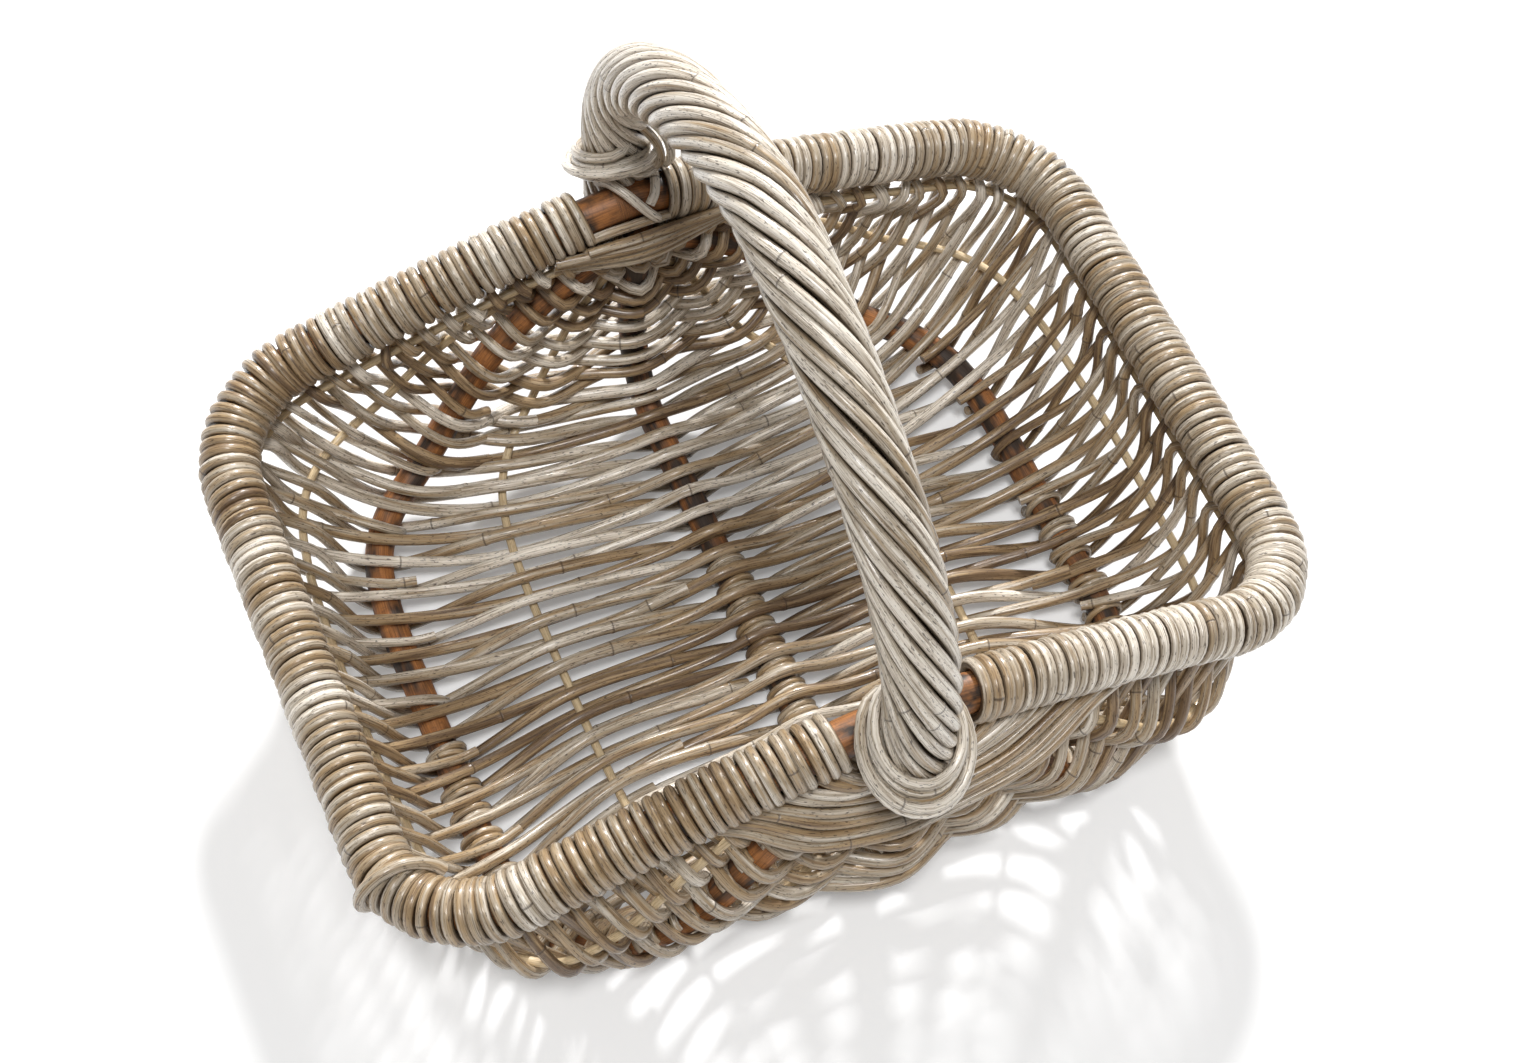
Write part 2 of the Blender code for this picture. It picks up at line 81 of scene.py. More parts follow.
# Handle, as the frame has it
HANDLE_FOOT_Y = 0.1839
HANDLE_HEIGHT = 0.184
HANDLE_RADIUS = 0.0185
HANDLE_STRAIGHT_HEIGHT = 0.0316
HANDLE_FOOT_DEPTH = 0.022
HANDLE_WIDTH_POWER = 1.327
HANDLE_RISE_POWER = 0.986
HANDLE_LAY_ANGLE = math.radians(27.0)
BINDING_TURNS = 3
BINDING_PITCH = 0.0076
BINDING_START_HEIGHT = 0.0178
BINDING_SLOPE = 0.68
BINDING_TUCK_ANGLE = 0.6
BINDING_TUCK_DEPTH = 0.006

# Where the lapping begins beside the feet, as x on the back and front sides of the rim
LAPPING_STARTS = {("back", 1): 0.017, ("back", -1): 0.027, ("front", 1): 0.034, ("front", -1): 0.028}

# Camera, as it stood for the photograph
CAMERA_PLACE = (-0.3097, -0.6143, 1.2612)
CAMERA_AZIMUTH = math.radians(27.52)
CAMERA_ELEVATION = math.radians(59.39)
CAMERA_ROLL = math.radians(4.43)
CAMERA_LENS_MM = 60.24

SIDES = (("right", 1), ("left", -1))

# How finely paths are cut, and the steps over which the way along a path is measured
SPAN_STEPS = 20
STRAND_STEP = 0.005
PACKING_STEP = 0.004
SHORT_CANE_STEP = 0.003
DIRECTION_STEP = 0.002
DIRECTION_SHARE = 0.004

# Sides of the tubes
POLE_SIDES = 16
ROPING_SIDES = 12
CANE_SIDES = 10
RING_SIDES = 8

# Joints of the canes: how far apart on each kind, the swelling at one, and the dark line round it
LAPPING_JOINT_SPACING = 0.21
WEAVER_JOINT_SPACING = 0.17
ROPING_JOINT_SPACING = 0.23
STAKE_JOINT_SPACING = 0.11
JOINT_STEPS = (-0.0026, -0.0011, 0.0, 0.0011, 0.0026)
JOINT_HALF_LENGTH = 0.0014
JOINT_SWELL = 0.11
JOINT_LINE_HALF_WIDTH = 0.0008

# Patterns on the bark: a feature's length along the cane, its width round it, and its detail.
# Real fibres are about 0.2 mm wide. They are drawn coarser here, so that they show.
TONE_PATCHES = (0.060, 0.0030, 4.0)
FIBRES = (0.020, 0.00055, 4.0)
FLECKS = (0.0030, 0.0007, 2.0)
WOOD_GRAIN = (0.012, 0.0006, 4.0)
WOOD_PATCH_WIDTH = 0.009
SCUFFS = (0.0011, 0.0040, 3.0)
PORES_PER_METRE = 1800.0

# Lapping: the tones and lengths of its canes with their odds, and how a turn is laid
LAPPING_SHADES = (0.08, 0.25, 0.4, 0.52, 0.66, 0.82, 0.95)
LAPPING_SHADE_ODDS = (0.12, 0.18, 0.2, 0.18, 0.14, 0.11, 0.07)
LAPPING_SHADE_KEPT = 0.35
# How much paler each half's canes are made. Part of this is a paler tone for both halves. The extra on the
# right half is painted light from the lamp behind on the right.
LAPPING_PALENESS_AND_PAINTED_LIGHT = {1: 0.25, -1: 0.10}
LAPPING_RUNS = (1, 2, 3, 5, 8)
LAPPING_RUN_ODDS = (0.2, 0.25, 0.25, 0.2, 0.1)
LAPPING_LEAST_PITCH = 0.005
LAPPING_TURN_STEPS = 22
LAPPING_FIRST_ANGLE = math.radians(-120.0)
LAPPING_TUCK_ANGLE = 0.5
LAPPING_TUCK_DEPTH = 0.0022
LAPPING_SWAY = 0.0006
LAPPING_UNEVENNESS = 0.0003

# The loose turn at the front left corner: degrees round the rim, distance along it, and height above
# the lapping in radii
CROSSING_TURN_STOPS = (
    (275, 0.5130, -0.90), (235, 0.5140, 0.10), (195, 0.5152, 0.65), (150, 0.5170, 0.80),
    (110, 0.5195, 0.85), (75, 0.5240, 0.85), (48, 0.5295, 0.80), (26, 0.5355, 0.80), (12, 0.5410, 0.70),
)

# Rows: how far they stray, as shares of a member's length, and how much of its lift a row keeps at each
# member from the keel outwards
ROW_MARGIN_SHARE = 0.006
ROW_DRIFT_SHARE = 0.0018
ROW_SWAY_SHARE = 0.0012
ROW_LIFT_STRAY = 0.0006
ROW_LIFT_SHARES = (1.0, 1.0, 0.97, 0.85, 0.85)
RIB_CLEARANCE = 0.0003
FLOOR_CLEARANCE = 0.0002
RIM_TAPER = 0.88

# How far beside the keel a row has come down from it, and how much of its height is left there
HUMP_HALF_WIDTH = 0.030
HUMP_FOOT_SHARE = 0.22

# Tones of the rows with their odds, how often a row takes a new one, and how often it is spliced
WEAVER_SHADES = (0.12, 0.34, 0.5, 0.64, 0.8, 0.95)
WEAVER_SHADE_ODDS = (0.12, 0.16, 0.2, 0.22, 0.18, 0.12)
NEW_SHADE_CHANCE = 0.6
SPLICE_CHANCE = 0.4
SPLICE_LEAST_POINTS = 30

# The rows on each side after which a packing cane comes in from the rim, and how often it turns back
# round the side rib and isn't cut off
PACKINGS = {1: (15, 20, 25, 29, 33, 37, 41, 45, 50, 56), -1: (14, 19, 24, 28, 32, 36, 40, 46, 51, 57)}
PACKING_SHADES = (0.2, 0.4, 0.6, 0.8)
PACKING_TURN_CHANCE = 0.6

# Lashed lengths of the ribs: the member, the side, and from and to which share of its length. The
# rings lie at two places between the rows, and reach so many degrees to either side.
LASHED_LENGTHS = ((0, 1, 0.40, 0.93), (2, 1, 0.475, 0.93), (2, -1, 0.49, 0.93))
RING_PLACES = (0.72, 1.28)
RING_OPEN_ANGLE = 128

# Canes at the ears: how many sag under the rim, how far each stands off at each member, and how many
# fan out outside
EAR_ROW_COUNT = 6
EAR_ROW_LIFTS = (0.0102, 0.0046, 0.0088, 0.0046, 0.004)
EAR_FAN_COUNT = 8

# Strands on the bare pole at the back foot: distance along it, and degrees round it
POLE_STRAND_STOPS = (
    ((-0.0150, 40), (-0.0110, 75), (-0.0054, 112), (0.0006, 147), (0.0080, 188), (0.0128, 225)),
    ((0.0135, 35), (0.0142, 66), (0.0125, 100), (0.0098, 130), (0.0060, 152)),
)

# Canes of the bundle under that pole: x of both ends, y of the ends and the middle, and how far down
BUNDLE_CANES = (
    (-0.0262, 0.0162, 0.1512, 0.1508, 0.0045),
    (-0.0310, 0.0540, 0.1466, 0.1450, 0.0092),
    (-0.0480, 0.0540, 0.1505, 0.1440, 0.0146),
    (-0.0480, 0.0540, 0.1530, 0.1440, 0.0200),
    (-0.0480, 0.0540, 0.1550, 0.1440, 0.0254),
)

# Strands that rise inside the turns of the back foot, as places, with their tone
RISERS = (
    (((0.0205, 0.1680, 0.2000), (0.0222, 0.1640, 0.2090), (0.0215, 0.1635, 0.2190),
      (0.0185, 0.1645, 0.2290), (0.0135, 0.1660, 0.2380), (0.0080, 0.1690, 0.2450)), 0.9),
    (((0.0150, 0.1680, 0.2010), (0.0163, 0.1640, 0.2090), (0.0157, 0.1635, 0.2180),
      (0.0130, 0.1645, 0.2270), (0.0085, 0.1665, 0.2350), (0.0040, 0.1695, 0.2400)), 0.62),
)

# Lamps: strength, width in degrees and the way towards each
LAMPS = (("back_light", 4.3, 8.0, (0.62, 1.25, 1.0)), ("top_light", 1.8, 14.0, (-0.12, -0.28, 1.0)))
ROOM_STRENGTH = 0.24
FLOOR_GLOW = 0.20
FLOOR_HALF_WIDTH = 6.0

KEEL_PATH_SHARES = (
    (0.0, 0.970, -0.290),
    (0.0, 1.000, -0.470),
    (0.0, 1.000, -0.690),
    (0.0, 0.963, -0.872),
    (0.0, 0.860, -0.975),
    (0.0, 0.700, -1.000),
    (0.0, 0.350, -1.000),
    (0.0, 0.0, -1.000),
)
INNER_STAKE_PATH_SHARES = (
    (None, 0.975, -0.280),
    (0.136, 0.990, -0.480),
    (0.206, 0.988, -0.690),
    (0.272, 0.957, -0.860),
    (0.337, 0.884, -0.935),
    (0.395, 0.756, -0.968),
    (0.428, 0.579, -0.976),
    (0.444, 0.305, -0.976),
    (0.446, 0.0, -0.976),
)
SIDE_RIB_PATH_SHARES = (
    (None, 0.980, -0.230),
    (0.222, 0.988, -0.355),
    (0.337, 0.982, -0.515),
    (0.440, 0.960, -0.725),
    (0.555, 0.893, -0.905),
    (0.665, 0.785, -0.975),
    (0.722, 0.655, -0.995),
    (0.750, 0.457, -0.997),
    (0.754, 0.0, -0.997),
)
OUTER_STAKE_PATH_SHARES = (
    (None, 0.982, -0.190),
    (0.309, 0.988, -0.300),
    (0.473, 0.988, -0.435),
    (0.617, 0.982, -0.612),
    (0.724, 0.957, -0.700),
    (0.806, 0.872, -0.716),
    (0.864, 0.732, -0.716),
    (0.897, 0.518, -0.716),
    (0.909, 0.244, -0.716),
    (0.914, 0.0, -0.716),
)
KEEL_TOP_SHARES = ((0.940, -0.074), (0.950, -0.180))


def linear(text):
    """An sRGB hex colour as linear red, green and blue."""
    parts = [int(text[index:index + 2], 16) / 255 for index in (1, 3, 5)]
    return tuple(part / 12.92 if part <= 0.04045 else ((part + 0.055) / 1.055) ** 2.4 for part in parts)


def length_of(name, description, default):
    return FloatProperty(name=name, description=description, default=default, min=0.0001, unit="LENGTH")


def colour_of(name, description, default):
    return FloatVectorProperty(name=name, description=description, default=linear(default), subtype="COLOR",
                               min=0.0, max=1.0)


class BasketSizes(bpy.types.PropertyGroup):
    """Thicknesses and counts of the canes."""

    weaver_radius: length_of("Weaver radius", "Half the thickness of the weaving canes", 0.0033)
    weaver_rows: IntProperty(name="Weaver rows", description="Rows from one ear to the other", default=79,
                             min=10)
    lapping_radius: length_of("Lapping radius", "Half the thickness of the cane round the rim", 0.00305)
    roping_radius: length_of("Roping radius", "Half the thickness of a strand on the handle", 0.0035)
    roping_strands: IntProperty(name="Roping strands", description="Strands laid round the handle",
                                default=12, min=3)
    binding_radius: length_of("Binding radius", "Half the thickness of the cane round the feet", 0.0028)
    lashing_radius: length_of("Lashing radius", "Half the thickness of the rings round the ribs", 0.0021)


class BasketColours(bpy.types.PropertyGroup):
    """Colours of the canes, poles and stage."""

    pale_cane: colour_of("Pale cane", "Bleached grey cane", "#EFE6D8")
    grey_cane: colour_of("Grey cane", "Weathered grey-brown cane", "#B9AB96")
    tan_cane: colour_of("Tan cane", "Cane that kept its tan bark", "#AE936E")
    brown_cane: colour_of("Brown cane", "Dark, soaked cane", "#745C42")
    fibre: colour_of("Fibre", "Dark fibres, joints and specks", "#3D2D20")
    peeled_pole: colour_of("Peeled pole", "Stained wood of the rim pole and ribs", "#A9703F")
    dark_pole: colour_of("Dark pole", "Soaked wood of the ribs", "#40332A")
    stake: colour_of("Stake", "Pale peeled stakes", "#E3CBA2")
    floor_bounce: colour_of("Floor's light", "What the floor sends back up onto the basket", "#CCCCCC")
    floor: colour_of("Floor", "White floor", "#E9E9E9")


def smooth(points):
    """A centripetal Catmull-Rom curve through the points, as many short steps."""
    points = np.asarray(points, float)
    ends = np.vstack((2 * points[0] - points[1], points, 2 * points[-1] - points[-2]))
    spans = np.sqrt(np.maximum(np.linalg.norm(np.diff(ends, axis=0), axis=1), 1e-9))
    knots = np.concatenate(([0.0], np.cumsum(spans)))
    pieces = []
    for index in range(len(points) - 1):
        a, b, c, d = ends[index:index + 4]
        ta, tb, tc, td = knots[index:index + 4]
        t = np.linspace(tb, tc, SPAN_STEPS, endpoint=False)[:, None]
        ab = ((tb - t) * a + (t - ta) * b) / (tb - ta)
        bc = ((tc - t) * b + (t - tb) * c) / (tc - tb)
        cd = ((td - t) * c + (t - tc) * d) / (td - tc)
        abc = ((tc - t) * ab + (t - ta) * bc) / (tc - ta)
        bcd = ((td - t) * bc + (t - tb) * cd) / (td - tb)
        pieces.append(((tc - t) * abc + (t - tb) * bcd) / (tc - tb))
    pieces.append(points[-1:])
    return np.vstack(pieces)


def lengths_along(path):
    return np.concatenate(([0.0], np.cumsum(np.linalg.norm(np.diff(path, axis=0), axis=1))))


def at_lengths(path, wanted):
    lengths = lengths_along(path)
    return np.column_stack([np.interp(wanted, lengths, path[:, axis]) for axis in range(3)])


def at_shares(path, shares):
    return at_lengths(path, np.asarray(shares) * lengths_along(path)[-1])


def even_steps(path, step=STRAND_STEP):
    total = lengths_along(path)[-1]
    return at_lengths(path, np.linspace(0.0, total, max(3, round(total / step) + 1)))


def unit(vectors):
    return vectors / np.linalg.norm(vectors, axis=-1, keepdims=True)


def rim_drop(x):
    return RIM_DROP * (np.abs(x) / RIM_HALF_LENGTH) ** RIM_DROP_POWER


def rim_half(start_x, inset=0.0, down=0.0):
    """The +X half of the rim from the back ear to the front ear, moved in and down."""
    half_length = RIM_HALF_LENGTH - inset
    half_width = RIM_HALF_WIDTH - inset
    radius = RIM_CORNER_RADIUS - inset
    corner_x = half_length - radius
    corner_y = half_width - radius
    turn = np.linspace(0.0, math.pi / 2, SPAN_STEPS)
    x = np.concatenate((np.linspace(start_x, corner_x, SPAN_STEPS, endpoint=False),
                        corner_x + radius * np.sin(turn), [half_length]))
    y = np.concatenate((np.full(SPAN_STEPS, half_width), corner_y + radius * np.cos(turn), [0.0]))
    x = np.concatenate((x, x[-2::-1]))
    y = np.concatenate((y, -y[-2::-1]))
    return np.column_stack((x, y, RIM_HEIGHT - rim_drop(x) - down))


def bulge(depth, half_width):
    """How much further out the front wall stands than the back one."""
    share = np.clip((depth - BULGE_START_DEPTH) / (BULGE_FULL_DEPTH - BULGE_START_DEPTH), 0.0, 1.0)
    return FRONT_BULGE * np.sin(math.pi / 2 * share) * np.minimum(1.0, half_width / BULGE_FADE_WIDTH)


def member_path(shares, first_x):
    """A rib or stake from the back ear under the body to the front ear, on the +X side."""
    corners = []
    for x, y, z in shares:
        across = first_x if x is None else x * RIM_HALF_LENGTH
        corners.append((across, y * RIM_HALF_WIDTH, RIM_HEIGHT + z * BODY_DEPTH))
    back = smooth(corners)
    front = back[-2::-1] * (1, -1, 1)
    front[:, 1] -= bulge(RIM_HEIGHT - front[:, 2], -front[:, 1])
    return np.vstack((back, front))


def keel_path():
    """The keel with its two short ends that stand up inside the rim pole."""
    tops = np.array([(0, y * RIM_HALF_WIDTH, RIM_HEIGHT + z * BODY_DEPTH) for y, z in KEEL_TOP_SHARES])
    return np.vstack((tops, member_path(KEEL_PATH_SHARES, 0.0), tops[::-1] * (1, -1, 1)))


def body_members():
    """The members of one side from the keel out to the rim, as paths."""
    return [
        member_path(KEEL_PATH_SHARES, 0.0),
        member_path(INNER_STAKE_PATH_SHARES, INNER_STAKE_X),
        member_path(SIDE_RIB_PATH_SHARES, SIDE_RIB_X),
        member_path(OUTER_STAKE_PATH_SHARES, OUTER_STAKE_X),
        rim_half(TOP_STAKE_X, TOP_STAKE_INSET, TOP_STAKE_DOWN),
        rim_half(TOP_STAKE_X),
    ]


def outward(members, index, shares):
    """The way out of the body at shares of one member's length."""
    path = members[index]
    along = (at_shares(path, np.minimum(shares + DIRECTION_SHARE, 1.0))
             - at_shares(path, np.maximum(shares - DIRECTION_SHARE, 0.0)))
    outer = at_shares(members[index + 1], shares)
    inner = outer * (-1, 1, 1) if index == 0 else at_shares(members[index - 1], shares)
    return unit(np.cross(outer - inner, along))


def handle_path():
    """The handle's middle line from the back foot over the top to the front foot."""
    angle = np.linspace(0.0, math.pi, SPAN_STEPS * 8)
    across = np.abs(np.cos(angle)) ** HANDLE_WIDTH_POWER * np.sign(np.cos(angle))
    up = np.maximum(0.0, np.sin(angle)) ** HANDLE_RISE_POWER
    rise = HANDLE_HEIGHT - HANDLE_STRAIGHT_HEIGHT
    arch = np.column_stack((np.zeros_like(angle), HANDLE_FOOT_Y * across,
                            RIM_HEIGHT + HANDLE_STRAIGHT_HEIGHT + rise * up))
    foot = np.array([(0.0, HANDLE_FOOT_Y, RIM_HEIGHT - HANDLE_FOOT_DEPTH)])
    return np.vstack((foot, arch, foot * (1, -1, 1)))


def strand(points, radius, shade, closed=False, start=0.0, crown=None):
    """One cane: its path, its radius at each point, its shade and where its bark pattern begins.

    The crown is the way out from the core the cane is laid round, at each point. The painted shade in the
    grooves beside the cane is measured from it. Without one the cane gets no painted groove shade.
    """
    points = np.asarray(points, float)
    crown = np.zeros_like(points) if crown is None else np.asarray(crown, float)
    return {"points": points, "radii": np.broadcast_to(radius, len(points)).astype(float),
            "shade": shade, "closed": closed, "start": start, "crown": crown}


def joint_places(cane, spacing):
    """Distances along a cane at which its joints lie, where the bark's rings are."""
    total = lengths_along(cane["points"])[-1]
    first = math.ceil((cane["start"] / spacing) + cane["shade"] - 0.5)
    last = math.floor((cane["start"] + total) / spacing + cane["shade"] - 0.5)
    return [(number + 0.5 - cane["shade"]) * spacing - cane["start"] for number in range(first, last + 1)]


def jointed(cane, spacing):
    """The cane with a low swelling at each of its joints."""
    lengths = lengths_along(cane["points"])
    joints = joint_places(cane, spacing)
    extra = [place + step for place in joints for step in JOINT_STEPS if 0 < place + step < lengths[-1]]
    wanted = np.unique(np.concatenate((lengths, extra)))
    wanted = wanted[np.concatenate((np.diff(wanted) > 2e-5, [True]))]
    radii = np.interp(wanted, lengths, cane["radii"])
    for place in joints:
        radii = radii * (1 + JOINT_SWELL * np.exp(-((wanted - place) / JOINT_HALF_LENGTH) ** 2))
    crown = np.column_stack([np.interp(wanted, lengths, cane["crown"][:, axis]) for axis in range(3)])
    return {**cane, "points": at_lengths(cane["points"], wanted), "radii": radii, "crown": crown}


def varied_strand(rng, points, radius, thickness, tones, starts):
    """A cane whose thickness, shade and bark are drawn from ranges."""
    return strand(points, radius * rng.uniform(*thickness), rng.uniform(*tones),
                  start=rng.uniform(0, starts))


def cane_object(name, strands, sides, finish, slot, *nodes, joint_spacing=None):
    """Canes as one piece of round tubes, with their shade and the place on the bark at each point."""
    if joint_spacing:
        strands = [jointed(cane, joint_spacing) for cane in strands]
    curve = bpy.data.curves.new(name, "CURVE")
    curve.dimensions = "3D"
    curve.bevel_depth = 1.0
    curve.bevel_resolution = (sides - 4) // 2
    for cane in strands:
        count = len(cane["points"])
        spline = curve.splines.new("POLY")
        spline.points.add(count - 1)
        spline.points.foreach_set("co", np.column_stack((cane["points"], np.ones(count))).ravel())
        spline.points.foreach_set("radius", cane["radii"])
        spline.use_cyclic_u = cane["closed"]
    guide = bpy.data.objects.new(name + "_guide", curve)
    bpy.context.collection.objects.link(guide)
    view = bpy.context.evaluated_depsgraph_get()
    mesh = bpy.data.meshes.new_from_object(guide.evaluated_get(view))
    mesh.name = name
    bpy.data.objects.remove(guide)
    bpy.data.curves.remove(curve)
    mark_bark(mesh, strands, sides)
    close_ends(mesh)
    mesh.shade_smooth()
    mesh.set_sharp_from_angle(angle=math.radians(50.0))
    mesh.materials.clear()
    mesh.materials.append(finish)
    mesh.materials.append(cut_finish(bpy.context.scene.basket_colours))
    thing = bpy.data.objects.new(name, mesh)
    bpy.context.collection.objects.link(thing)
    finished(thing, slot, *nodes)


def mark_bark(mesh, strands, sides):
    """Stores where each point lies on its cane: along it, and round it on the circle of its section.

    The painted groove shade is 1 on the crown of the cane, where it leaves the colour as it is. It falls to
    0 and below in the grooves beside it and against the core, where shade falls.
    """
    angle = np.arange(sides) * math.tau / sides
    skin = np.empty(len(mesh.vertices) * 3, np.float32)
    mesh.vertices.foreach_get("co", skin)
    skin = skin.reshape(-1, 3)
    done = 0
    places = []
    shades = []
    painted_groove_shade = []
    for cane in strands:
        along = lengths_along(cane["points"]) + cane["start"]
        radius = float(np.mean(cane["radii"]))
        ring = np.column_stack((np.zeros(sides), np.cos(angle) * radius, np.sin(angle) * radius))
        place = np.tile(ring, (len(along), 1))
        place[:, 0] = np.repeat(along, sides)
        places.append(place)
        shades.append(np.full(len(place), cane["shade"]))
        away = unit(skin[done:done + len(place)] - np.repeat(cane["points"], sides, axis=0))
        crown = np.repeat(cane["crown"], sides, axis=0)
        bare = ~crown.any(axis=1)
        painted_groove_shade.append(np.where(bare, 1.0, (away * crown).sum(axis=1)))
        done += len(place)
    if done != len(mesh.vertices):
        raise RuntimeError(mesh.name + " has other points than its canes")
    for name, kind, field, values in (
        ("bark_place", "FLOAT_VECTOR", "vector", places),
        ("cane_shade", "FLOAT", "value", shades),
        ("painted_groove_shade", "FLOAT", "value", painted_groove_shade),
    ):
        marks = mesh.attributes.new(name, kind, "POINT")
        marks.data.foreach_set(field, np.concatenate(values).astype(np.float32).ravel())


def close_ends(mesh):
    """Closes the cut ends with flat faces of their own material and turns all faces outward."""
    shape = bmesh.new()
    shape.from_mesh(mesh)
    rims = [edge for edge in shape.edges if edge.is_boundary]
    for face in bmesh.ops.holes_fill(shape, edges=rims, sides=0)["faces"]:
        face.material_index = 1
    bmesh.ops.recalc_face_normals(shape, faces=shape.faces)
    shape.to_mesh(mesh)
    shape.free()


def feed(tree, node, inputs):
    """Sets inputs of a node. Each takes a value, a socket, or another node's first output in use."""
    for key, value in inputs.items():
        if isinstance(value, bpy.types.Node):
            value = next(socket for socket in value.outputs if socket.enabled)
        if isinstance(value, bpy.types.NodeSocket):
            tree.links.new(value, node.inputs[key])
        else:
            node.inputs[key].default_value = value


def add(tree, kind, inputs=None, stops=(), **settings):
    """Adds a node with its settings and inputs, and a ramp's (place, linear colour) stops."""
    node = tree.nodes.new("ShaderNode" + kind)
    for key, value in settings.items():
        setattr(node, key, value)
    feed(tree, node, inputs or {})
    while stops and len(node.color_ramp.elements) < len(stops):
        node.color_ramp.elements.new(0.5)
    for number, (place, colour) in enumerate(stops):
        node.color_ramp.elements[number].position = place
        node.color_ramp.elements[number].color = opaque(colour)
    return node


def opaque(colour):
    return (*tuple(colour)[:3], 1.0)


def new_material(name):
    made = bpy.data.materials.new(name)
    made.use_nodes = True
    return made, made.node_tree, made.node_tree.nodes["Principled BSDF"]


def cane_mark(tree, name, output):
    """What a cane's points hold under a name."""
    return add(tree, "Attribute", attribute_name=name).outputs[output]


def bark_noise(tree, place, along, around, detail):
    """Noise on the bark, with features of these lengths along and around the cane."""
    scaled = add(tree, "VectorMath", {0: place, 1: (1 / along, 1 / around, 1 / around)},
                 operation="MULTIPLY")
    return add(tree, "TexNoise", {"Vector": scaled, "Scale": 1.0, "Detail": detail})


def bark_finish(name, tones, fibre, roughness, joint_spacing, fibre_depth=0.85):
    """Cane with its bark on: a tone per cane, long stripes and fibres, flecks and dark joints.

    The light catches the smooth bark, and the fibres break it up.
    """
    made, tree, shader = new_material(name)
    place = cane_mark(tree, "bark_place", "Vector")
    shade = cane_mark(tree, "cane_shade", "Fac")
    drift = bark_noise(tree, place, *TONE_PATCHES)
    tone = add(tree, "Math", {0: drift, 1: 2.0, 2: -1.0}, operation="MULTIPLY_ADD")
    tone = add(tree, "Math", {0: tone, 1: shade}, operation="ADD", use_clamp=True)
    step = 1 / (len(tones) - 1)
    stops = [(index * step, colour) for index, colour in enumerate(tones)]
    base = add(tree, "ValToRGB", {"Fac": tone}, stops)

    fibres = bark_noise(tree, place, *FIBRES)
    streak = add(tree, "ValToRGB", {"Fac": fibres},
                 ((0.30, (0.20, 0.15, 0.11)), (0.42, (0.66, 0.61, 0.55)), (0.53, (1, 1, 1))))
    base = add(tree, "Mix", {"Factor": fibre_depth, "A": base, "B": streak}, data_type="RGBA",
               blend_type="MULTIPLY")
    flecks = bark_noise(tree, place, *FLECKS)
    fleck = add(tree, "MapRange", {"Value": flecks, "From Min": 0.60, "From Max": 0.68})
    joint = joint_mask(tree, place, shade, joint_spacing)
    dark = add(tree, "Math", {0: joint, 1: fleck}, operation="MAXIMUM", use_clamp=True)
    dark = add(tree, "Math", {0: dark, 1: 0.8}, operation="MULTIPLY")
    base = add(tree, "Mix", {"Factor": dark, "A": base, "B": opaque(fibre)}, data_type="RGBA")
    # Painted shade: each cane is darker towards the grooves between it and its neighbours, going away from
    # its crown.
    groove_shade_tint = add(tree, "ValToRGB", {"Fac": cane_mark(tree, "painted_groove_shade", "Fac")},
                 ((0.12, (0.15, 0.12, 0.09)), (0.45, (0.60, 0.56, 0.51)), (0.78, (1, 1, 1))))
    base = add(tree, "Mix", {"Factor": 1.0, "A": base, "B": groove_shade_tint}, data_type="RGBA", blend_type="MULTIPLY")

    gloss = add(tree, "MapRange", {"Value": fibres, "From Min": 0.3, "From Max": 0.6,
                                   "To Min": roughness + 0.28, "To Max": roughness})
    height = add(tree, "Math", {0: joint, 1: -0.9, 2: fibres}, operation="MULTIPLY_ADD")
    bump = add(tree, "Bump", {"Height": height, "Distance": 0.0004, "Strength": 0.9})
    feed(tree, shader, {"Base Color": base, "Roughness": gloss, "Normal": bump, "IOR": 1.55,
                        "Coat Weight": 0.5, "Coat Roughness": 0.2})
    return made


def cut_finish(colours):
    """Cane cut across: pale core full of dark pores."""
    name = "rattan, cut across"
    if name in bpy.data.materials:
        return bpy.data.materials[name]
    made, tree, shader = new_material(name)
    place = add(tree, "TexCoord").outputs["Object"]
    pores = add(tree, "TexNoise", {"Vector": place, "Scale": PORES_PER_METRE, "Detail": 2.0})
    base = add(tree, "ValToRGB", {"Fac": pores}, ((0.38, colours.dark_pole), (0.62, colours.tan_cane)))
    feed(tree, shader, {"Base Color": base, "Roughness": 0.75})
    return made


def joint_mask(tree, place, shade, spacing):
    """One at the joints of a cane, a narrow ring every spacing, at other places on each cane."""
    along = add(tree, "SeparateXYZ", {"Vector": place})
    turns = add(tree, "Math", {0: along, 1: 1 / spacing, 2: shade}, operation="MULTIPLY_ADD")
    inside = add(tree, "Math", {0: turns}, operation="FRACT")
    away = add(tree, "Math", {0: inside, 1: 0.5}, operation="SUBTRACT")
    away = add(tree, "Math", {0: away}, operation="ABSOLUTE")
    return add(tree, "MapRange", {"Value": away, "From Min": JOINT_LINE_HALF_WIDTH / spacing,
                                  "From Max": 0.0, "To Min": 0.0, "To Max": 1.0})


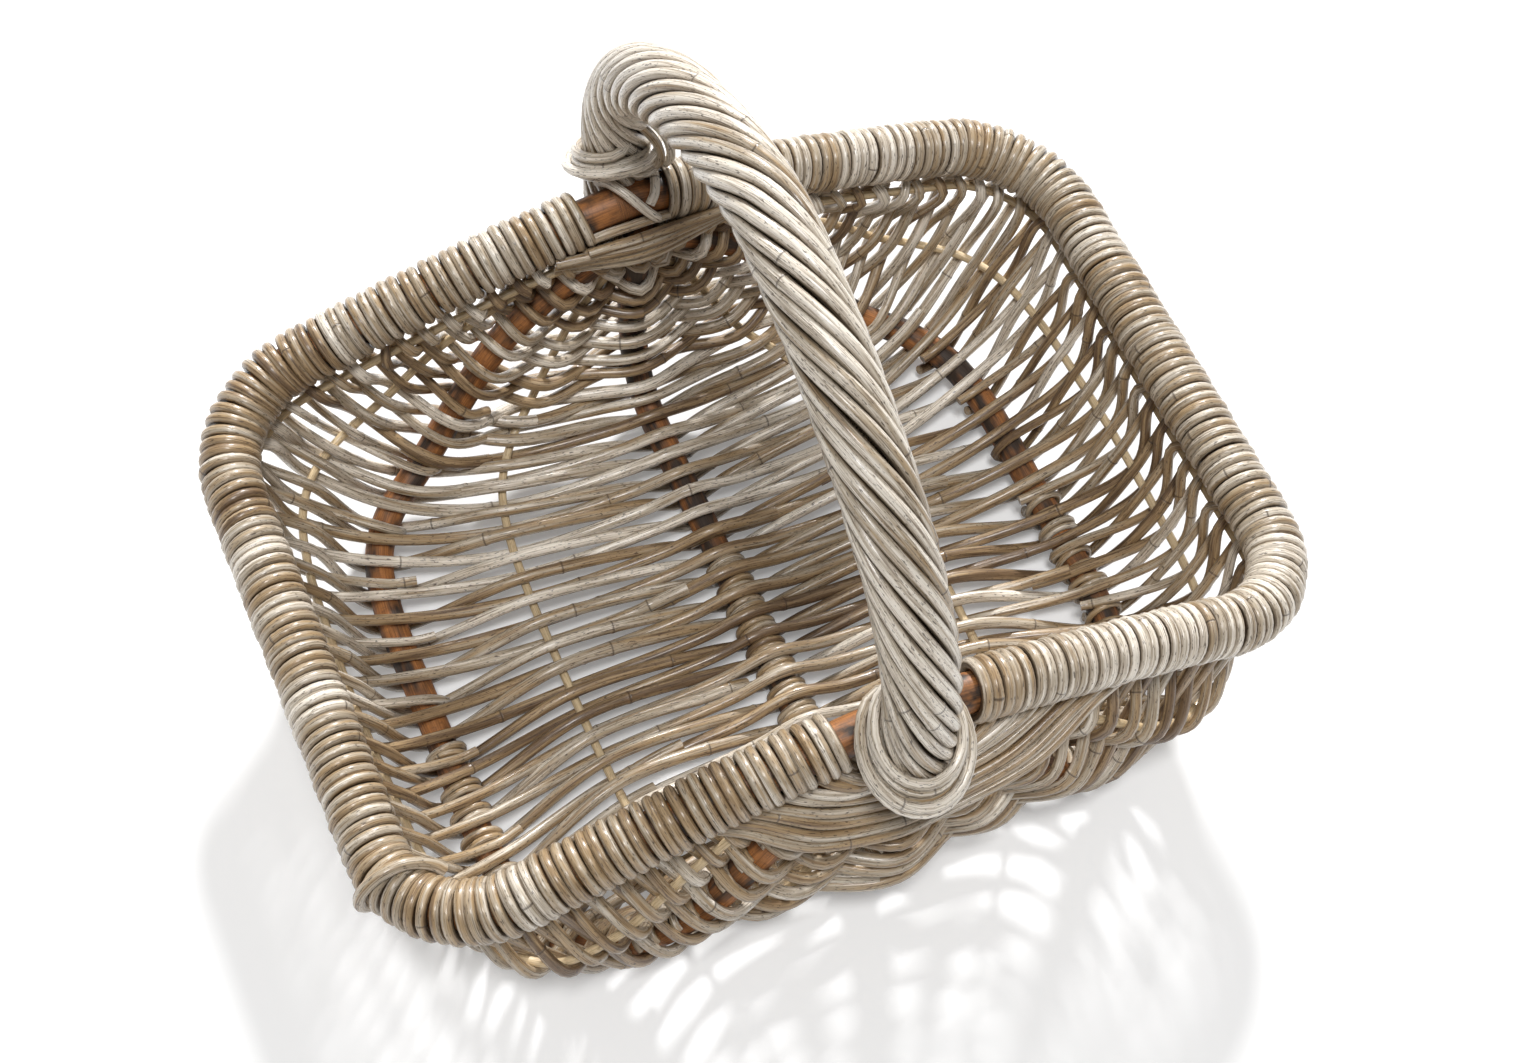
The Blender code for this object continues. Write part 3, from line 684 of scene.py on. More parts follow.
def pole_finish(name, colours, roughness, patch):
    """Peeled, stained rattan wood: broad dark and light lengths, fine grain and scuffed cross marks."""
    made, tree, shader = new_material(name)
    place = cane_mark(tree, "bark_place", "Vector")
    shade = cane_mark(tree, "cane_shade", "Fac")
    broad = bark_noise(tree, place, patch, WOOD_PATCH_WIDTH, 3.0)
    tone = add(tree, "Math", {0: broad, 1: 3.0, 2: -1.55}, operation="MULTIPLY_ADD")
    tone = add(tree, "Math", {0: tone, 1: shade}, operation="ADD", use_clamp=True)
    base = add(tree, "ValToRGB", {"Fac": tone}, ((0.15, colours.dark_pole), (0.75, colours.peeled_pole)))
    grain = bark_noise(tree, place, *WOOD_GRAIN)
    streak = add(tree, "ValToRGB", {"Fac": grain}, ((0.34, (0.42, 0.40, 0.38)), (0.6, (1.08, 1.05, 1.0))))
    base = add(tree, "Mix", {"Factor": 0.8, "A": base, "B": streak}, data_type="RGBA", blend_type="MULTIPLY")
    scuffs = bark_noise(tree, place, *SCUFFS)
    scuff = add(tree, "MapRange", {"Value": scuffs, "From Min": 0.55, "From Max": 0.75, "To Max": 0.45})
    base = add(tree, "Mix", {"Factor": scuff, "A": base, "B": opaque(colours.dark_pole)}, data_type="RGBA")
    bump = add(tree, "Bump", {"Height": scuffs, "Distance": 0.0002, "Strength": 0.6})
    feed(tree, shader, {"Base Color": base, "Normal": bump, "Roughness": roughness})
    return made


def cane_tones(colours):
    return [colours.brown_cane, colours.tan_cane, colours.grey_cane, colours.pale_cane]


def lapping_finish(colours):
    """Round kubu cane, soaked grey and wound on with its bark: turns of grey, beige and tan."""
    return bark_finish("soaked kubu cane, wound", cane_tones(colours), colours.fibre, 0.30,
                       LAPPING_JOINT_SPACING)


def weaver_finish(colours):
    """Thinner kubu cane, woven in wet: duller and browner than the cane on the rim."""
    return bark_finish("soaked kubu cane, woven", cane_tones(colours), colours.fibre, 0.34,
                       WEAVER_JOINT_SPACING)


def roping_finish(colours):
    """The best canes, laid on the handle: pale, smooth and worn to a soft shine by hands."""
    return bark_finish("kubu cane, laid and handled", cane_tones(colours) + [colours.pale_cane],
                       colours.fibre, 0.28, ROPING_JOINT_SPACING)


def stake_finish(colours):
    """Peeled rattan core: pale, dry and straight-grained, with darker joints."""
    pale = tuple(colours.stake)[:3]
    tones = [tuple(part * share for part in pale) for share in (0.62, 0.85, 1.0)]
    return bark_finish("rattan core, peeled", tones, colours.tan_cane, 0.5, STAKE_JOINT_SPACING, 0.5)


def finished(thing, slot, *nodes):
    """Ties a piece to the body and to the nodes it stands for. Its slot is not used."""
    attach(thing, "root")
    if nodes:
        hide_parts(*nodes)


class BASKET_OT_rim_pole(bpy.types.Operator):
    """Adds the peeled pole of the rim, which shows beside the feet of the handle."""

    bl_idname = "basket.rim_pole"
    bl_label = "Rim pole"

    def execute(self, context):
        colours = context.scene.basket_colours
        half = rim_half(0.0)
        ring = np.vstack((half, half[-2:0:-1] * (-1, 1, 1)))
        pole = strand(ring, RIM_POLE_RADIUS, 0.62, closed=True)
        finish = pole_finish("rattan pole, peeled and stained", colours, 0.5, 0.012)
        cane_object("bent_rim_pole", [pole], POLE_SIDES, finish, "peeled_rattan_pole", "rim_pole")
        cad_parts["handle_core"].data.materials.clear()
        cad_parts["handle_core"].data.materials.append(cut_finish(colours))
        return {"FINISHED"}


class BASKET_OT_rim_lapping(bpy.types.Operator):
    """Adds the turns of cane that lie side by side round the rim."""

    bl_idname = "basket.rim_lapping"
    bl_label = "Rim lapping"

    def execute(self, context):
        finish = lapping_finish(context.scene.basket_colours)
        rng = np.random.RandomState(11)
        for side_name, side in SIDES:
            name = side_name + "_rim_lapping"
            canes = lapping_canes(rng, context.scene.basket_sizes, side)
            cane_object(name, canes, CANE_SIDES, finish, "weathered_grey_cane",
                        *[name + "_" + str(number) for number in (1, 2, 3, 4)],
                        joint_spacing=LAPPING_JOINT_SPACING)
        return {"FINISHED"}


def rim_frame(path, along, behind=0.0):
    """The middle of the rim at distances along it, and the ways outward and up from there."""
    middle = at_lengths(path, along)
    ahead = unit(at_lengths(path, along + DIRECTION_STEP) - at_lengths(path, along - behind))
    level = unit(np.cross(ahead, (0, 0, 1)))
    return middle, level, np.cross(level, ahead)


def round_axis(level, rise, angle):
    """The way out from an axis at an angle round it, at each point."""
    return level * np.cos(angle)[:, None] + rise * np.sin(angle)[:, None]


def tucked(angle, tuck_angle, depth):
    """How far a winding draws in at its two ends."""
    share = np.clip(np.minimum(angle - angle[0], angle[-1] - angle) / tuck_angle, 0, 1)
    return depth * (1 - share) ** 2


def lapping_canes(rng, sizes, side):
    """Canes wound round half of the rim, turn beside turn, from the back foot to the front foot.

    Each cane is some turns long, and its ends are tucked in under the rim. Both halves are made paler, and
    the right half more: painted light from the lamp behind on the right.
    """
    path = rim_half(0.0)
    place = LAPPING_STARTS["back", side] + sizes.lapping_radius
    end = lengths_along(path)[-1] - LAPPING_STARTS["front", side] - sizes.lapping_radius
    canes = []
    shade = 0.6
    while place < end:
        drawn = rng.choice(LAPPING_SHADES, p=LAPPING_SHADE_ODDS)
        shade = LAPPING_SHADE_KEPT * shade + (1 - LAPPING_SHADE_KEPT) * drawn
        room = int((end - place) / LAPPING_LEAST_PITCH) + 1
        turns = min(rng.choice(LAPPING_RUNS, p=LAPPING_RUN_ODDS), room)
        pitch = sizes.lapping_radius * 2 * rng.uniform(0.95, 1.0)
        radius = sizes.lapping_radius * rng.uniform(0.94, 1.05)
        angle = np.linspace(0.0, math.tau * turns, LAPPING_TURN_STEPS * turns + 1)
        along = place + pitch * angle / math.tau - pitch / 2
        along += LAPPING_SWAY * np.sin(angle / 3 + rng.uniform(0, 6)) * np.sin(angle / (2 * turns))
        middle, level, rise = rim_frame(path, along, DIRECTION_STEP)
        uneven = LAPPING_UNEVENNESS * np.sin(angle * 0.77 + rng.uniform(0, 6))
        reach = LAPPED_RADIUS - sizes.lapping_radius + uneven
        reach -= tucked(angle, LAPPING_TUCK_ANGLE, LAPPING_TUCK_DEPTH)
        crown = round_axis(level, rise, LAPPING_FIRST_ANGLE + angle)
        points = middle + crown * reach[:, None]
        # Paler tone, with painted light on the right half.
        canes.append(strand(points * (side, 1, 1), radius, shade + LAPPING_PALENESS_AND_PAINTED_LIGHT[side],
                            start=rng.uniform(0, 3), crown=crown * (side, 1, 1)))
        place += pitch * turns
    if side < 0:
        canes.append(crossing_turn(sizes, path))
    return canes


def crossing_turn(sizes, path):
    """The loose turn at the front left corner, laid across its neighbours and cut off on the inner side."""
    degrees, along, height = np.array(CROSSING_TURN_STOPS).T
    middle, level, rise = rim_frame(path, along)
    reach = LAPPED_RADIUS + sizes.lapping_radius * height
    points = middle + round_axis(level, rise, np.radians(degrees)) * reach[:, None]
    return strand(smooth(points)[::4] * (-1, 1, 1), sizes.lapping_radius * 1.04, 0.62, start=0.4)


class BASKET_OT_ribs(bpy.types.Operator):
    """Adds the keel and the two side ribs."""

    bl_idname = "basket.ribs"
    bl_label = "Ribs"

    def execute(self, context):
        colours = context.scene.basket_colours
        finish = pole_finish("rattan rib, peeled and stained", colours, 0.6, 0.03)
        rib = member_path(SIDE_RIB_PATH_SHARES, SIDE_RIB_X)
        for name, node, path, shade, start in (
            ("keel", "keel_rib", keel_path(), 0.22, 0.0),
            ("right_corner_rib", "right_side_rib", rib, 0.5, 1.1),
            ("left_corner_rib", "left_side_rib", rib * (-1, 1, 1), 0.62, 2.3),
        ):
            made = strand(even_steps(path), RIB_RADIUS, shade, start=start)
            cane_object(name, [made], POLE_SIDES, finish, "stained_rattan_rib", node)
        return {"FINISHED"}


class BASKET_OT_stakes(bpy.types.Operator):
    """Adds the six thin pale stakes."""

    bl_idname = "basket.stakes"
    bl_label = "Stakes"

    def execute(self, context):
        finish = stake_finish(context.scene.basket_colours)
        rng = np.random.RandomState(5)
        for name, path in (
            ("inner_stake", member_path(INNER_STAKE_PATH_SHARES, INNER_STAKE_X)),
            ("outer_stake", member_path(OUTER_STAKE_PATH_SHARES, OUTER_STAKE_X)),
            ("top_stake", rim_half(TOP_STAKE_X, TOP_STAKE_INSET, TOP_STAKE_DOWN)),
        ):
            for side_name, side in SIDES:
                points = even_steps(path * (side, 1, 1))
                cane = strand(points, STAKE_RADIUS, rng.uniform(0.35, 0.75), start=rng.uniform(0, 2))
                cane_object(side_name + "_pale_" + name, [cane], CANE_SIDES, finish, "pale_split_stake",
                            side_name + "_" + name, joint_spacing=STAKE_JOINT_SPACING)
        return {"FINISHED"}


class BASKET_OT_weaving(bpy.types.Operator):
    """Adds the rows of cane woven over and under the ribs and stakes."""

    bl_idname = "basket.weaving"
    bl_label = "Weaving"

    def execute(self, context):
        finish = weaver_finish(context.scene.basket_colours)
        over, under = weaver_rows(np.random.RandomState(23), context.scene.basket_sizes)
        for name, rows, nodes in (
            ("weaving_over_keel", over, ("right_floor_weave", "left_floor_weave")),
            ("weaving_under_keel", under, ("right_side_weave", "left_side_weave")),
        ):
            cane_object(name, rows, CANE_SIDES, finish, "weathered_grey_cane", *nodes,
                        joint_spacing=WEAVER_JOINT_SPACING)
        return {"FINISHED"}


def slot_shares(slots, count):
    """Places in a row of so many, as shares of a member's length, with a little margin at the ears."""
    return ROW_MARGIN_SHARE + (1 - 2 * ROW_MARGIN_SHARE) * np.asarray(slots) / (count - 1)


def packed_shares(sizes, side, index):
    """Where the rows, then the packing canes, cross one member of a side.

    A packing cane takes no room on the keel and the inner stake, one row's room on the side rib that it
    turns round, and two rows' room beyond.
    """
    packings = np.array(PACKINGS[side])
    rows = np.arange(sizes.weaver_rows)
    room = (0, 0, 1, 2, 2, 2)[index]
    before = (rows[:, None] > packings[None, :]).sum(axis=1)
    count = sizes.weaver_rows + room * len(packings)
    turned = packings + room * np.arange(len(packings))
    firsts = turned + (1.0 if room else 0.5)
    seconds = turned + (2.0 if room == 2 else 1.0 if room else 0.5)
    return [slot_shares(slots, count) for slots in (rows + room * before, firsts, seconds)]


def weaver_rows(rng, sizes):
    """The woven rows, those over the keel and those under it, as seen from inside."""
    members = body_members()
    drift = rng.uniform(-1, 1, sizes.weaver_rows) * ROW_DRIFT_SHARE
    places = {}
    outs = {}
    for side in (1, -1):
        shares = [packed_shares(sizes, side, index) for index in range(6)]
        sway = [drift + rng.uniform(-1, 1, len(drift)) * ROW_SWAY_SHARE for index in range(6)]
        places[side] = [[at_shares(path, np.clip(kind + (sway[index] if number == 0 else 0.0), 0, 1))
                         for number, kind in enumerate(shares[index])] for index, path in enumerate(members)]
        outs[side] = [[outward(members, index, kind) for kind in shares[index]] for index in range(5)]
    rib = RIB_RADIUS + sizes.weaver_radius + RIB_CLEARANCE
    stake = STAKE_RADIUS + sizes.weaver_radius
    lifts = [lift * share for lift, share in zip((rib, stake, rib, stake, stake), ROW_LIFT_SHARES)]
    rows = ([], [])
    shade = 0.45
    for row in range(sizes.weaver_rows):
        way = 1 if row % 2 == 0 else -1
        halves = [half_row(rng, places[side], outs[side], lifts, way, side, row, stake) for side in (1, -1)]
        path = even_steps(smooth(np.vstack((halves[1][::-1], halves[0][1:]))))
        ends = np.abs([places[1][1][0][row][0], places[1][4][0][row][0]])
        taper = np.interp(np.abs(path[:, 0]), ends, (1.0, RIM_TAPER))
        if rng.uniform() < NEW_SHADE_CHANCE:
            shade = rng.choice(WEAVER_SHADES, p=WEAVER_SHADE_ODDS)
        radius = sizes.weaver_radius * rng.uniform(0.92, 1.13) * taper
        rows[row % 2].extend(spliced(rng, path, radius, shade))
    for side in (1, -1):
        for number in range(len(PACKINGS[side])):
            rows[0].extend(packing_canes(rng, sizes, places[side], outs[side], lifts, side, number))
    return rows[1], rows[0]


def half_row(rng, places, outs, lifts, way, side, row, rim_lift):
    """The points of a row from the keel to the rim, in and out at each member."""
    points = [places[index][0][row] + outs[index][0][row]
              * (lifts[index] * way * (-1) ** index + rng.uniform(-ROW_LIFT_STRAY, ROW_LIFT_STRAY))
              for index in range(5)]
    keel, stake = places[0][0][row], places[1][0][row]
    if np.linalg.norm(stake - keel) > 2 * HUMP_HALF_WIDTH:
        points.insert(1, keel + unit(stake - keel) * HUMP_HALF_WIDTH
                      + outs[0][0][row] * lifts[0] * way * HUMP_FOOT_SHARE)
    points += rim_turn(places, row, way * side, PACKINGS[side], rim_lift)
    return np.array(points) * (side, 1, 1)


def rim_turn(places, row, onward, packings, lift):
    """The point where a row turns round the top stake to become its neighbour."""
    partner = row + onward
    if not 0 <= partner < len(places[4][0]):
        return []
    here = places[4][0][row], places[5][0][row]
    beside = row if onward > 0 else partner
    if beside in packings:
        number = packings.index(beside)
        kind = 1 if onward > 0 else 2
        there = places[4][kind][number], places[5][kind][number]
    else:
        there = places[4][0][partner], places[5][0][partner]
    stake = (here[0] + there[0]) / 2
    return [stake + unit((here[1] + there[1]) / 2 - stake) * lift]


def packing_canes(rng, sizes, places, outs, lifts, side, number):
    """A cane from the rim to the side rib and back, turned round the rib or cut off beside it."""
    row = PACKINGS[side][number]
    way = 1 if row % 2 == 0 else -1
    arms = []
    for kind, turned in ((1, -way), (2, way)):
        arm = []
        for index in (4, 3, 2):
            lift = lifts[index] * turned * (-1) ** index + rng.uniform(-0.0005, 0.0005)
            arm.append(places[index][kind][number] + outs[index][kind][number] * lift)
        beside = row if kind == 1 else row + 1
        stake = (places[4][kind][number] + places[4][0][beside]) / 2
        to_rim = unit((places[5][kind][number] + places[5][0][beside]) / 2 - stake)
        arms.append([stake + to_rim * (STAKE_RADIUS + sizes.weaver_radius)] + arm)
    rib = places[2][1][number]
    inward = unit(places[1][1][number] - rib)
    reach = RIB_RADIUS + sizes.weaver_radius * 0.8
    shade = rng.choice(PACKING_SHADES)
    radius = sizes.weaver_radius * rng.uniform(0.76, 0.9)
    if rng.uniform() < PACKING_TURN_CHANCE:
        paths = [arms[0] + [rib + inward * reach] + arms[1][::-1]]
    else:
        low = outs[2][1][number] * -way
        paths = [arm + [arm[-1] + inward * rng.uniform(0.010, 0.018) - low * bend]
                 for arm, bend in zip(arms, (0.003, -0.003))]
    canes = []
    for path in paths:
        points = even_steps(smooth(np.array(path) * (side, 1, 1)), PACKING_STEP)
        canes.append(strand(above_floor(points, radius), radius, shade, start=rng.uniform(0, 5)))
    return canes


def above_floor(points, radius):
    """The path of a cane, lifted where it would pass through the floor the basket stands on."""
    lifted = np.array(points)
    lifted[:, 2] = np.maximum(lifted[:, 2], np.asarray(radius) + FLOOR_CLEARANCE)
    return lifted


def beside_splice(count, overlap, reach):
    """How far a spliced cane moves aside at each point, most at its cut end, which comes first."""
    share = np.clip(np.arange(count) / (overlap * 2.0), 0, 1)
    return (reach * np.cos(share * math.pi / 2))[:, None]


def spliced(rng, points, radius, shade):
    """A row as one cane, or as two canes whose cut ends lie beside each other."""
    radius = radius * (1 + 0.04 * np.sin(np.arange(len(points)) * 0.21 + rng.uniform(0, 6)))
    start = rng.uniform(0, 5)
    if len(points) < SPLICE_LEAST_POINTS or rng.uniform() > SPLICE_CHANCE:
        return [strand(above_floor(points, radius), radius, shade, start=start)]
    cut = int(len(points) * rng.uniform(0.2, 0.8))
    overlap = rng.randint(3, 7)
    inward = unit(np.array([0.0, 0.0, RIM_HEIGHT * 1.4]) - points[cut])
    reach = radius[cut] * 0.95
    first = points[:cut + overlap]
    first = first + inward * beside_splice(len(first), overlap, reach)[::-1]
    second = points[cut - overlap:]
    second = second - inward * beside_splice(len(second), overlap, reach)
    other = np.clip(shade + rng.uniform(-0.35, 0.35), 0.05, 0.95)
    beside = radius[-len(second):] * rng.uniform(0.9, 1.08)
    return [strand(above_floor(first, radius[:len(first)]), radius[:len(first)], shade, start=start),
            strand(above_floor(second, beside), beside, other, start=start + 1.3)]


class BASKET_OT_rib_lashing(bpy.types.Operator):
    """Adds the rings of cane that lash the front lengths of the ribs between the rows."""

    bl_idname = "basket.rib_lashing"
    bl_label = "Rib lashing"

    def execute(self, context):
        finish = lapping_finish(context.scene.basket_colours)
        members = body_members()
        rng = np.random.RandomState(31)
        rings = []
        for index, side, low, high in LASHED_LENGTHS:
            rings += lashing_rings(rng, context.scene.basket_sizes, members, index, side, low, high)
        cane_object("rib_lashing", rings, RING_SIDES, finish, "weathered_grey_cane")
        return {"FINISHED"}


def lashing_rings(rng, sizes, members, index, side, low, high):
    """Open rings round the inner side of a rib, two between each pair of rows that pass over it."""
    shares = packed_shares(sizes, side, index)[0]
    over = [row for row in range(len(shares) - 2) if row % 2 == 1 and low < shares[row] < high]
    reach = RIB_RADIUS + sizes.lashing_radius * 0.9
    angles = np.radians(np.linspace(-RING_OPEN_ANGLE, RING_OPEN_ANGLE, 17))
    rings = []
    for row in over:
        for place in RING_PLACES:
            share = shares[row] + (shares[row + 1:row + 2] - shares[row]) * place
            middle = at_shares(members[index], share)[0]
            out = outward(members, index, share)[0]
            along = unit(at_shares(members[index], share + 0.002)[0] - middle)
            across = np.cross(along, out)
            lean = rng.uniform(-0.12, 0.12)
            ring = (middle - np.outer(np.cos(angles) * reach, out) + np.outer(np.sin(angles) * reach, across)
                    + np.outer(np.sin(angles) * lean * reach, along))
            rings.append(varied_strand(rng, ring * (side, 1, 1), sizes.lashing_radius, (0.92, 1.08),
                                       (0.3, 0.6), 3))
    return rings


class BASKET_OT_ear_canes(bpy.types.Operator):
    """Adds the short canes that close the ears under the rim, round the top of the keel."""

    bl_idname = "basket.ear_canes"
    bl_label = "Ear canes"

    def execute(self, context):
        sizes = context.scene.basket_sizes
        finish = weaver_finish(context.scene.basket_colours)
        rng = np.random.RandomState(41)
        canes = []
        for end in (1, -1):
            canes += ear_rows(rng, sizes, end)
            canes += ear_fan(rng, sizes, end)
        cane_object("ear_canes", canes, CANE_SIDES, finish, "weathered_grey_cane")
        return {"FINISHED"}


def ear_rows(rng, sizes, end):
    """Sagging canes from lapping to lapping, in turn inside and outside the top of the keel."""
    first = [at_shares(path, [0.002])[0] for path in body_members()[:5]]
    canes = []
    top = RIM_HEIGHT - 0.013
    for row in range(EAR_ROW_COUNT):
        depth = (row + 0.6) / EAR_ROW_COUNT
        way = -1 if row % 2 == 0 else 1
        points = []
        for index, (x, y, z) in enumerate(first):
            lift = EAR_ROW_LIFTS[index] * way * (1 if index % 2 == 0 else -1)
            points.append((x * (0.62 + 0.38 * depth), y + lift - 0.002 * (1 - depth),
                           top + (z - top) * depth - 0.001 * index))
        points.append((points[-1][0] + 0.006, RIM_HALF_WIDTH - 0.001, top + 0.002))
        right = np.array(points)
        path = smooth(np.vstack((right[::-1] * (-1, 1, 1), right[1:]))) * (1, end, 1)
        canes.append(varied_strand(rng, even_steps(path, SHORT_CANE_STEP), sizes.weaver_radius,
                                   (0.92, 1.12), (0.3, 0.7), 3))
    return canes


def ear_fan(rng, sizes, end):
    """Outer canes of an ear: from the lapping on one side, under the foot, fanned out to the other side."""
    keel, rib = [path[::end][:len(path) // 3] * (1, end, 1)
                 for path in (keel_path(), member_path(SIDE_RIB_PATH_SHARES, SIDE_RIB_X))]
    canes = []
    for number in range(EAR_FAN_COUNT):
        low = RIM_HEIGHT - 0.0280 - 0.0060 * number
        shoulder = low + 0.007
        low_y = np.interp(-low, -keel[:, 2], keel[:, 1]) + RIB_RADIUS + sizes.weaver_radius * 3.1
        rib_y = np.interp(-shoulder, -rib[:, 2], rib[:, 1]) + RIB_RADIUS + sizes.weaver_radius * 2.6
        points = []
        for side, reach in ((-1, 0.034 + 0.009 * number), (1, 0.040 + 0.0125 * number)):
            reach += rng.uniform(-0.002, 0.002)
            top = RIM_HEIGHT - rim_drop(reach) - 0.0175
            arm = [(side * 0.013, low_y - 0.0005, low + 0.0015),
                   (side * reach * 0.55, max(rib_y, 0.1765), low + (top - low) * 0.45),
                   (side * reach * 0.85, 0.1745, low + (top - low) * 0.86),
                   (side * reach, 0.1690, top)]
            points = arm[::-1] + [(0.0, low_y, low)] if side < 0 else points + arm
        path = smooth(points) * (1, end, 1)
        canes.append(varied_strand(rng, even_steps(path, SHORT_CANE_STEP), sizes.weaver_radius,
                                   (0.8, 0.98), (0.3, 0.95), 3))
    return canes


class BASKET_OT_handle_roping(bpy.types.Operator):
    """Adds the strands of cane laid round the handle."""

    bl_idname = "basket.handle_roping"
    bl_label = "Handle roping"

    def execute(self, context):
        finish = roping_finish(context.scene.basket_colours)
        canes = roping_canes(np.random.RandomState(7), context.scene.basket_sizes)
        cane_object("handle_strands", canes, ROPING_SIDES, finish, "weathered_grey_cane", "handle_roping",
                    joint_spacing=ROPING_JOINT_SPACING)
        return {"FINISHED"}


def roping_canes(rng, sizes):
    """Round strands side by side round the handle, each a long screw."""
    points = even_steps(handle_path(), 0.004)
    across = np.tile((1.0, 0.0, 0.0), (len(points), 1))
    rise = np.cross(across, unit(np.gradient(points, axis=0)))
    length = lengths_along(points)
    centre = HANDLE_RADIUS - sizes.roping_radius
    turn = length * math.tan(HANDLE_LAY_ANGLE) / centre
    canes = []
    for number in range(sizes.roping_strands):
        sway = 0.03 * np.sin(length * 23 + rng.uniform(0, 6))
        sway = sway + 0.02 * np.sin(length * 61 + rng.uniform(0, 6))
        angle = math.tau * number / sizes.roping_strands + turn + sway
        reach = centre + 0.0002 * np.sin(length * 37 + rng.uniform(0, 6))
        crown = round_axis(across, rise, angle)
        path = points + crown * reach[:, None]
        radius = sizes.roping_radius * rng.uniform(0.95, 1.05) * (1 + 0.02 * np.sin(length * 29 + number))
        canes.append(strand(path, radius, rng.uniform(0.38, 1.05), start=rng.uniform(0, 4), crown=crown))
    return canes


class BASKET_OT_foot_bindings(bpy.types.Operator):
    """Adds the sloping turns of cane that bind each foot of the handle to the rim."""

    bl_idname = "basket.foot_bindings"
    bl_label = "Foot bindings"

    def execute(self, context):
        sizes = context.scene.basket_sizes
        finish = roping_finish(context.scene.basket_colours)
        rng = np.random.RandomState(17)
        for name, end, loose in (("back", 1, back_foot_canes), ("front", -1, front_foot_canes)):
            path = binding_path(sizes, end, 0.0, math.tau * BINDING_TURNS)
            canes = [strand(path, sizes.binding_radius, rng.uniform(0.6, 0.8), start=rng.uniform(0, 2))]
            canes += loose(rng, sizes)
            cane_object(name + "_foot_turns", canes, ROPING_SIDES, finish, "weathered_grey_cane",
                        name + "_foot_binding")
        return {"FINISHED"}


def binding_path(sizes, end, first, last, layer=0, lift=0.0):
    """Sloping turns round a foot, from one angle to the other, in the first layer or outside it."""
    angle = np.linspace(first, last, round(28 * (last - first) / math.tau))
    reach = HANDLE_RADIUS + sizes.binding_radius * (1 + 1.9 * layer)
    reach = reach - tucked(angle, BINDING_TUCK_ANGLE, BINDING_TUCK_DEPTH)
    out = -reach * np.cos(angle)
    height = BINDING_START_HEIGHT - BINDING_SLOPE * (out + reach) + BINDING_PITCH * angle / math.tau + lift
    return np.column_stack((reach * np.sin(angle), end * (HANDLE_FOOT_Y + out), RIM_HEIGHT + height))


def front_foot_canes(rng, sizes):
    """Loops outside the turns of the front foot."""
    canes = []
    for first, last, lift in ((0.06, 1.93, 0.0075), (0.10, 1.88, 0.0018)):
        path = binding_path(sizes, -1, first * math.pi, last * math.pi, 1, lift)
        canes.append(varied_strand(rng, path, sizes.binding_radius, (0.92, 1.05), (0.7, 0.95), 2))
    return canes


def back_foot_canes(rng, sizes):
    """Two strands that cross on the bare pole, a bundle under it, and two that rise inside the turns."""
    pole = np.array([0.0, RIM_HALF_WIDTH, RIM_HEIGHT])
    canes = []
    for number, stops in enumerate(POLE_STRAND_STOPS):
        reach = RIM_POLE_RADIUS + sizes.binding_radius * (1.55 if number == 0 else 1.0)
        points = [pole + (x, reach * math.cos(math.radians(turn)), reach * math.sin(math.radians(turn)))
                  for x, turn in stops]
        canes.append(strand(smooth(points)[::4], sizes.binding_radius * 0.95, 0.95 - 0.1 * number,
                            start=rng.uniform(0, 2)))
    for first, last, beside, middle, down in BUNDLE_CANES:
        height = RIM_HEIGHT - down
        points = [(first, beside, height - 0.0015), (first * 0.6, (beside + middle) / 2, height - 0.0005),
                  (-0.006, middle, height), (0.006, middle, height + 0.0004),
                  (last * 0.6, (beside + middle) / 2, height), (last, beside, height - 0.0010)]
        canes.append(varied_strand(rng, smooth(points)[::4], sizes.binding_radius, (0.85, 1.0),
                                   (0.25, 0.55), 2))
    loop = binding_path(sizes, 1, 0.75 * math.pi, 2.22 * math.pi, 1, 0.0095)
    canes.append(strand(loop, sizes.binding_radius, 0.9, start=rng.uniform(0, 2)))
    for points, shade in RISERS:
        canes.append(strand(smooth(points)[::4], sizes.binding_radius * 0.9, shade, start=rng.uniform(0, 2)))
    return canes


class BASKET_OT_stage(bpy.types.Operator):
    """Adds the white floor, the lights and the camera."""

    bl_idname = "basket.stage"
    bl_label = "Stage"

    def execute(self, context):
        add_floor(context.scene.basket_colours)
        add_lights(context.scene)
        add_camera(context.scene)
        context.scene.view_settings.view_transform = "Standard"
        return {"FINISHED"}


def add_floor(colours):
    """A white floor that shows white to the camera and keeps the basket's shadow."""
    shape = bmesh.new()
    bmesh.ops.create_grid(shape, x_segments=1, y_segments=1, size=FLOOR_HALF_WIDTH)
    mesh = bpy.data.meshes.new("white_floor")
    shape.to_mesh(mesh)
    shape.free()
    made, tree, shader = new_material("white paper floor")
    rays = add(tree, "LightPath").outputs
    seen = add(tree, "Math", {0: rays["Is Camera Ray"], 1: rays["Is Glossy Ray"]}, operation="MAXIMUM")
    colour = add(tree, "Mix", {"Factor": seen, "A": opaque(colours.floor_bounce),
                               "B": opaque(colours.floor)}, data_type="RGBA")
    feed(tree, shader, {"Base Color": colour, "Roughness": 0.9})
    glow = add(tree, "Math", {0: seen, 1: FLOOR_GLOW}, operation="MULTIPLY")
    glow = add(tree, "Emission", {"Color": (1, 1, 1, 1), "Strength": glow})
    both = add(tree, "AddShader", {0: shader, 1: glow})
    feed(tree, tree.nodes["Material Output"], {"Surface": both})
    mesh.materials.append(made)
    floor = bpy.data.objects.new("white_floor", mesh)
    bpy.context.collection.objects.link(floor)


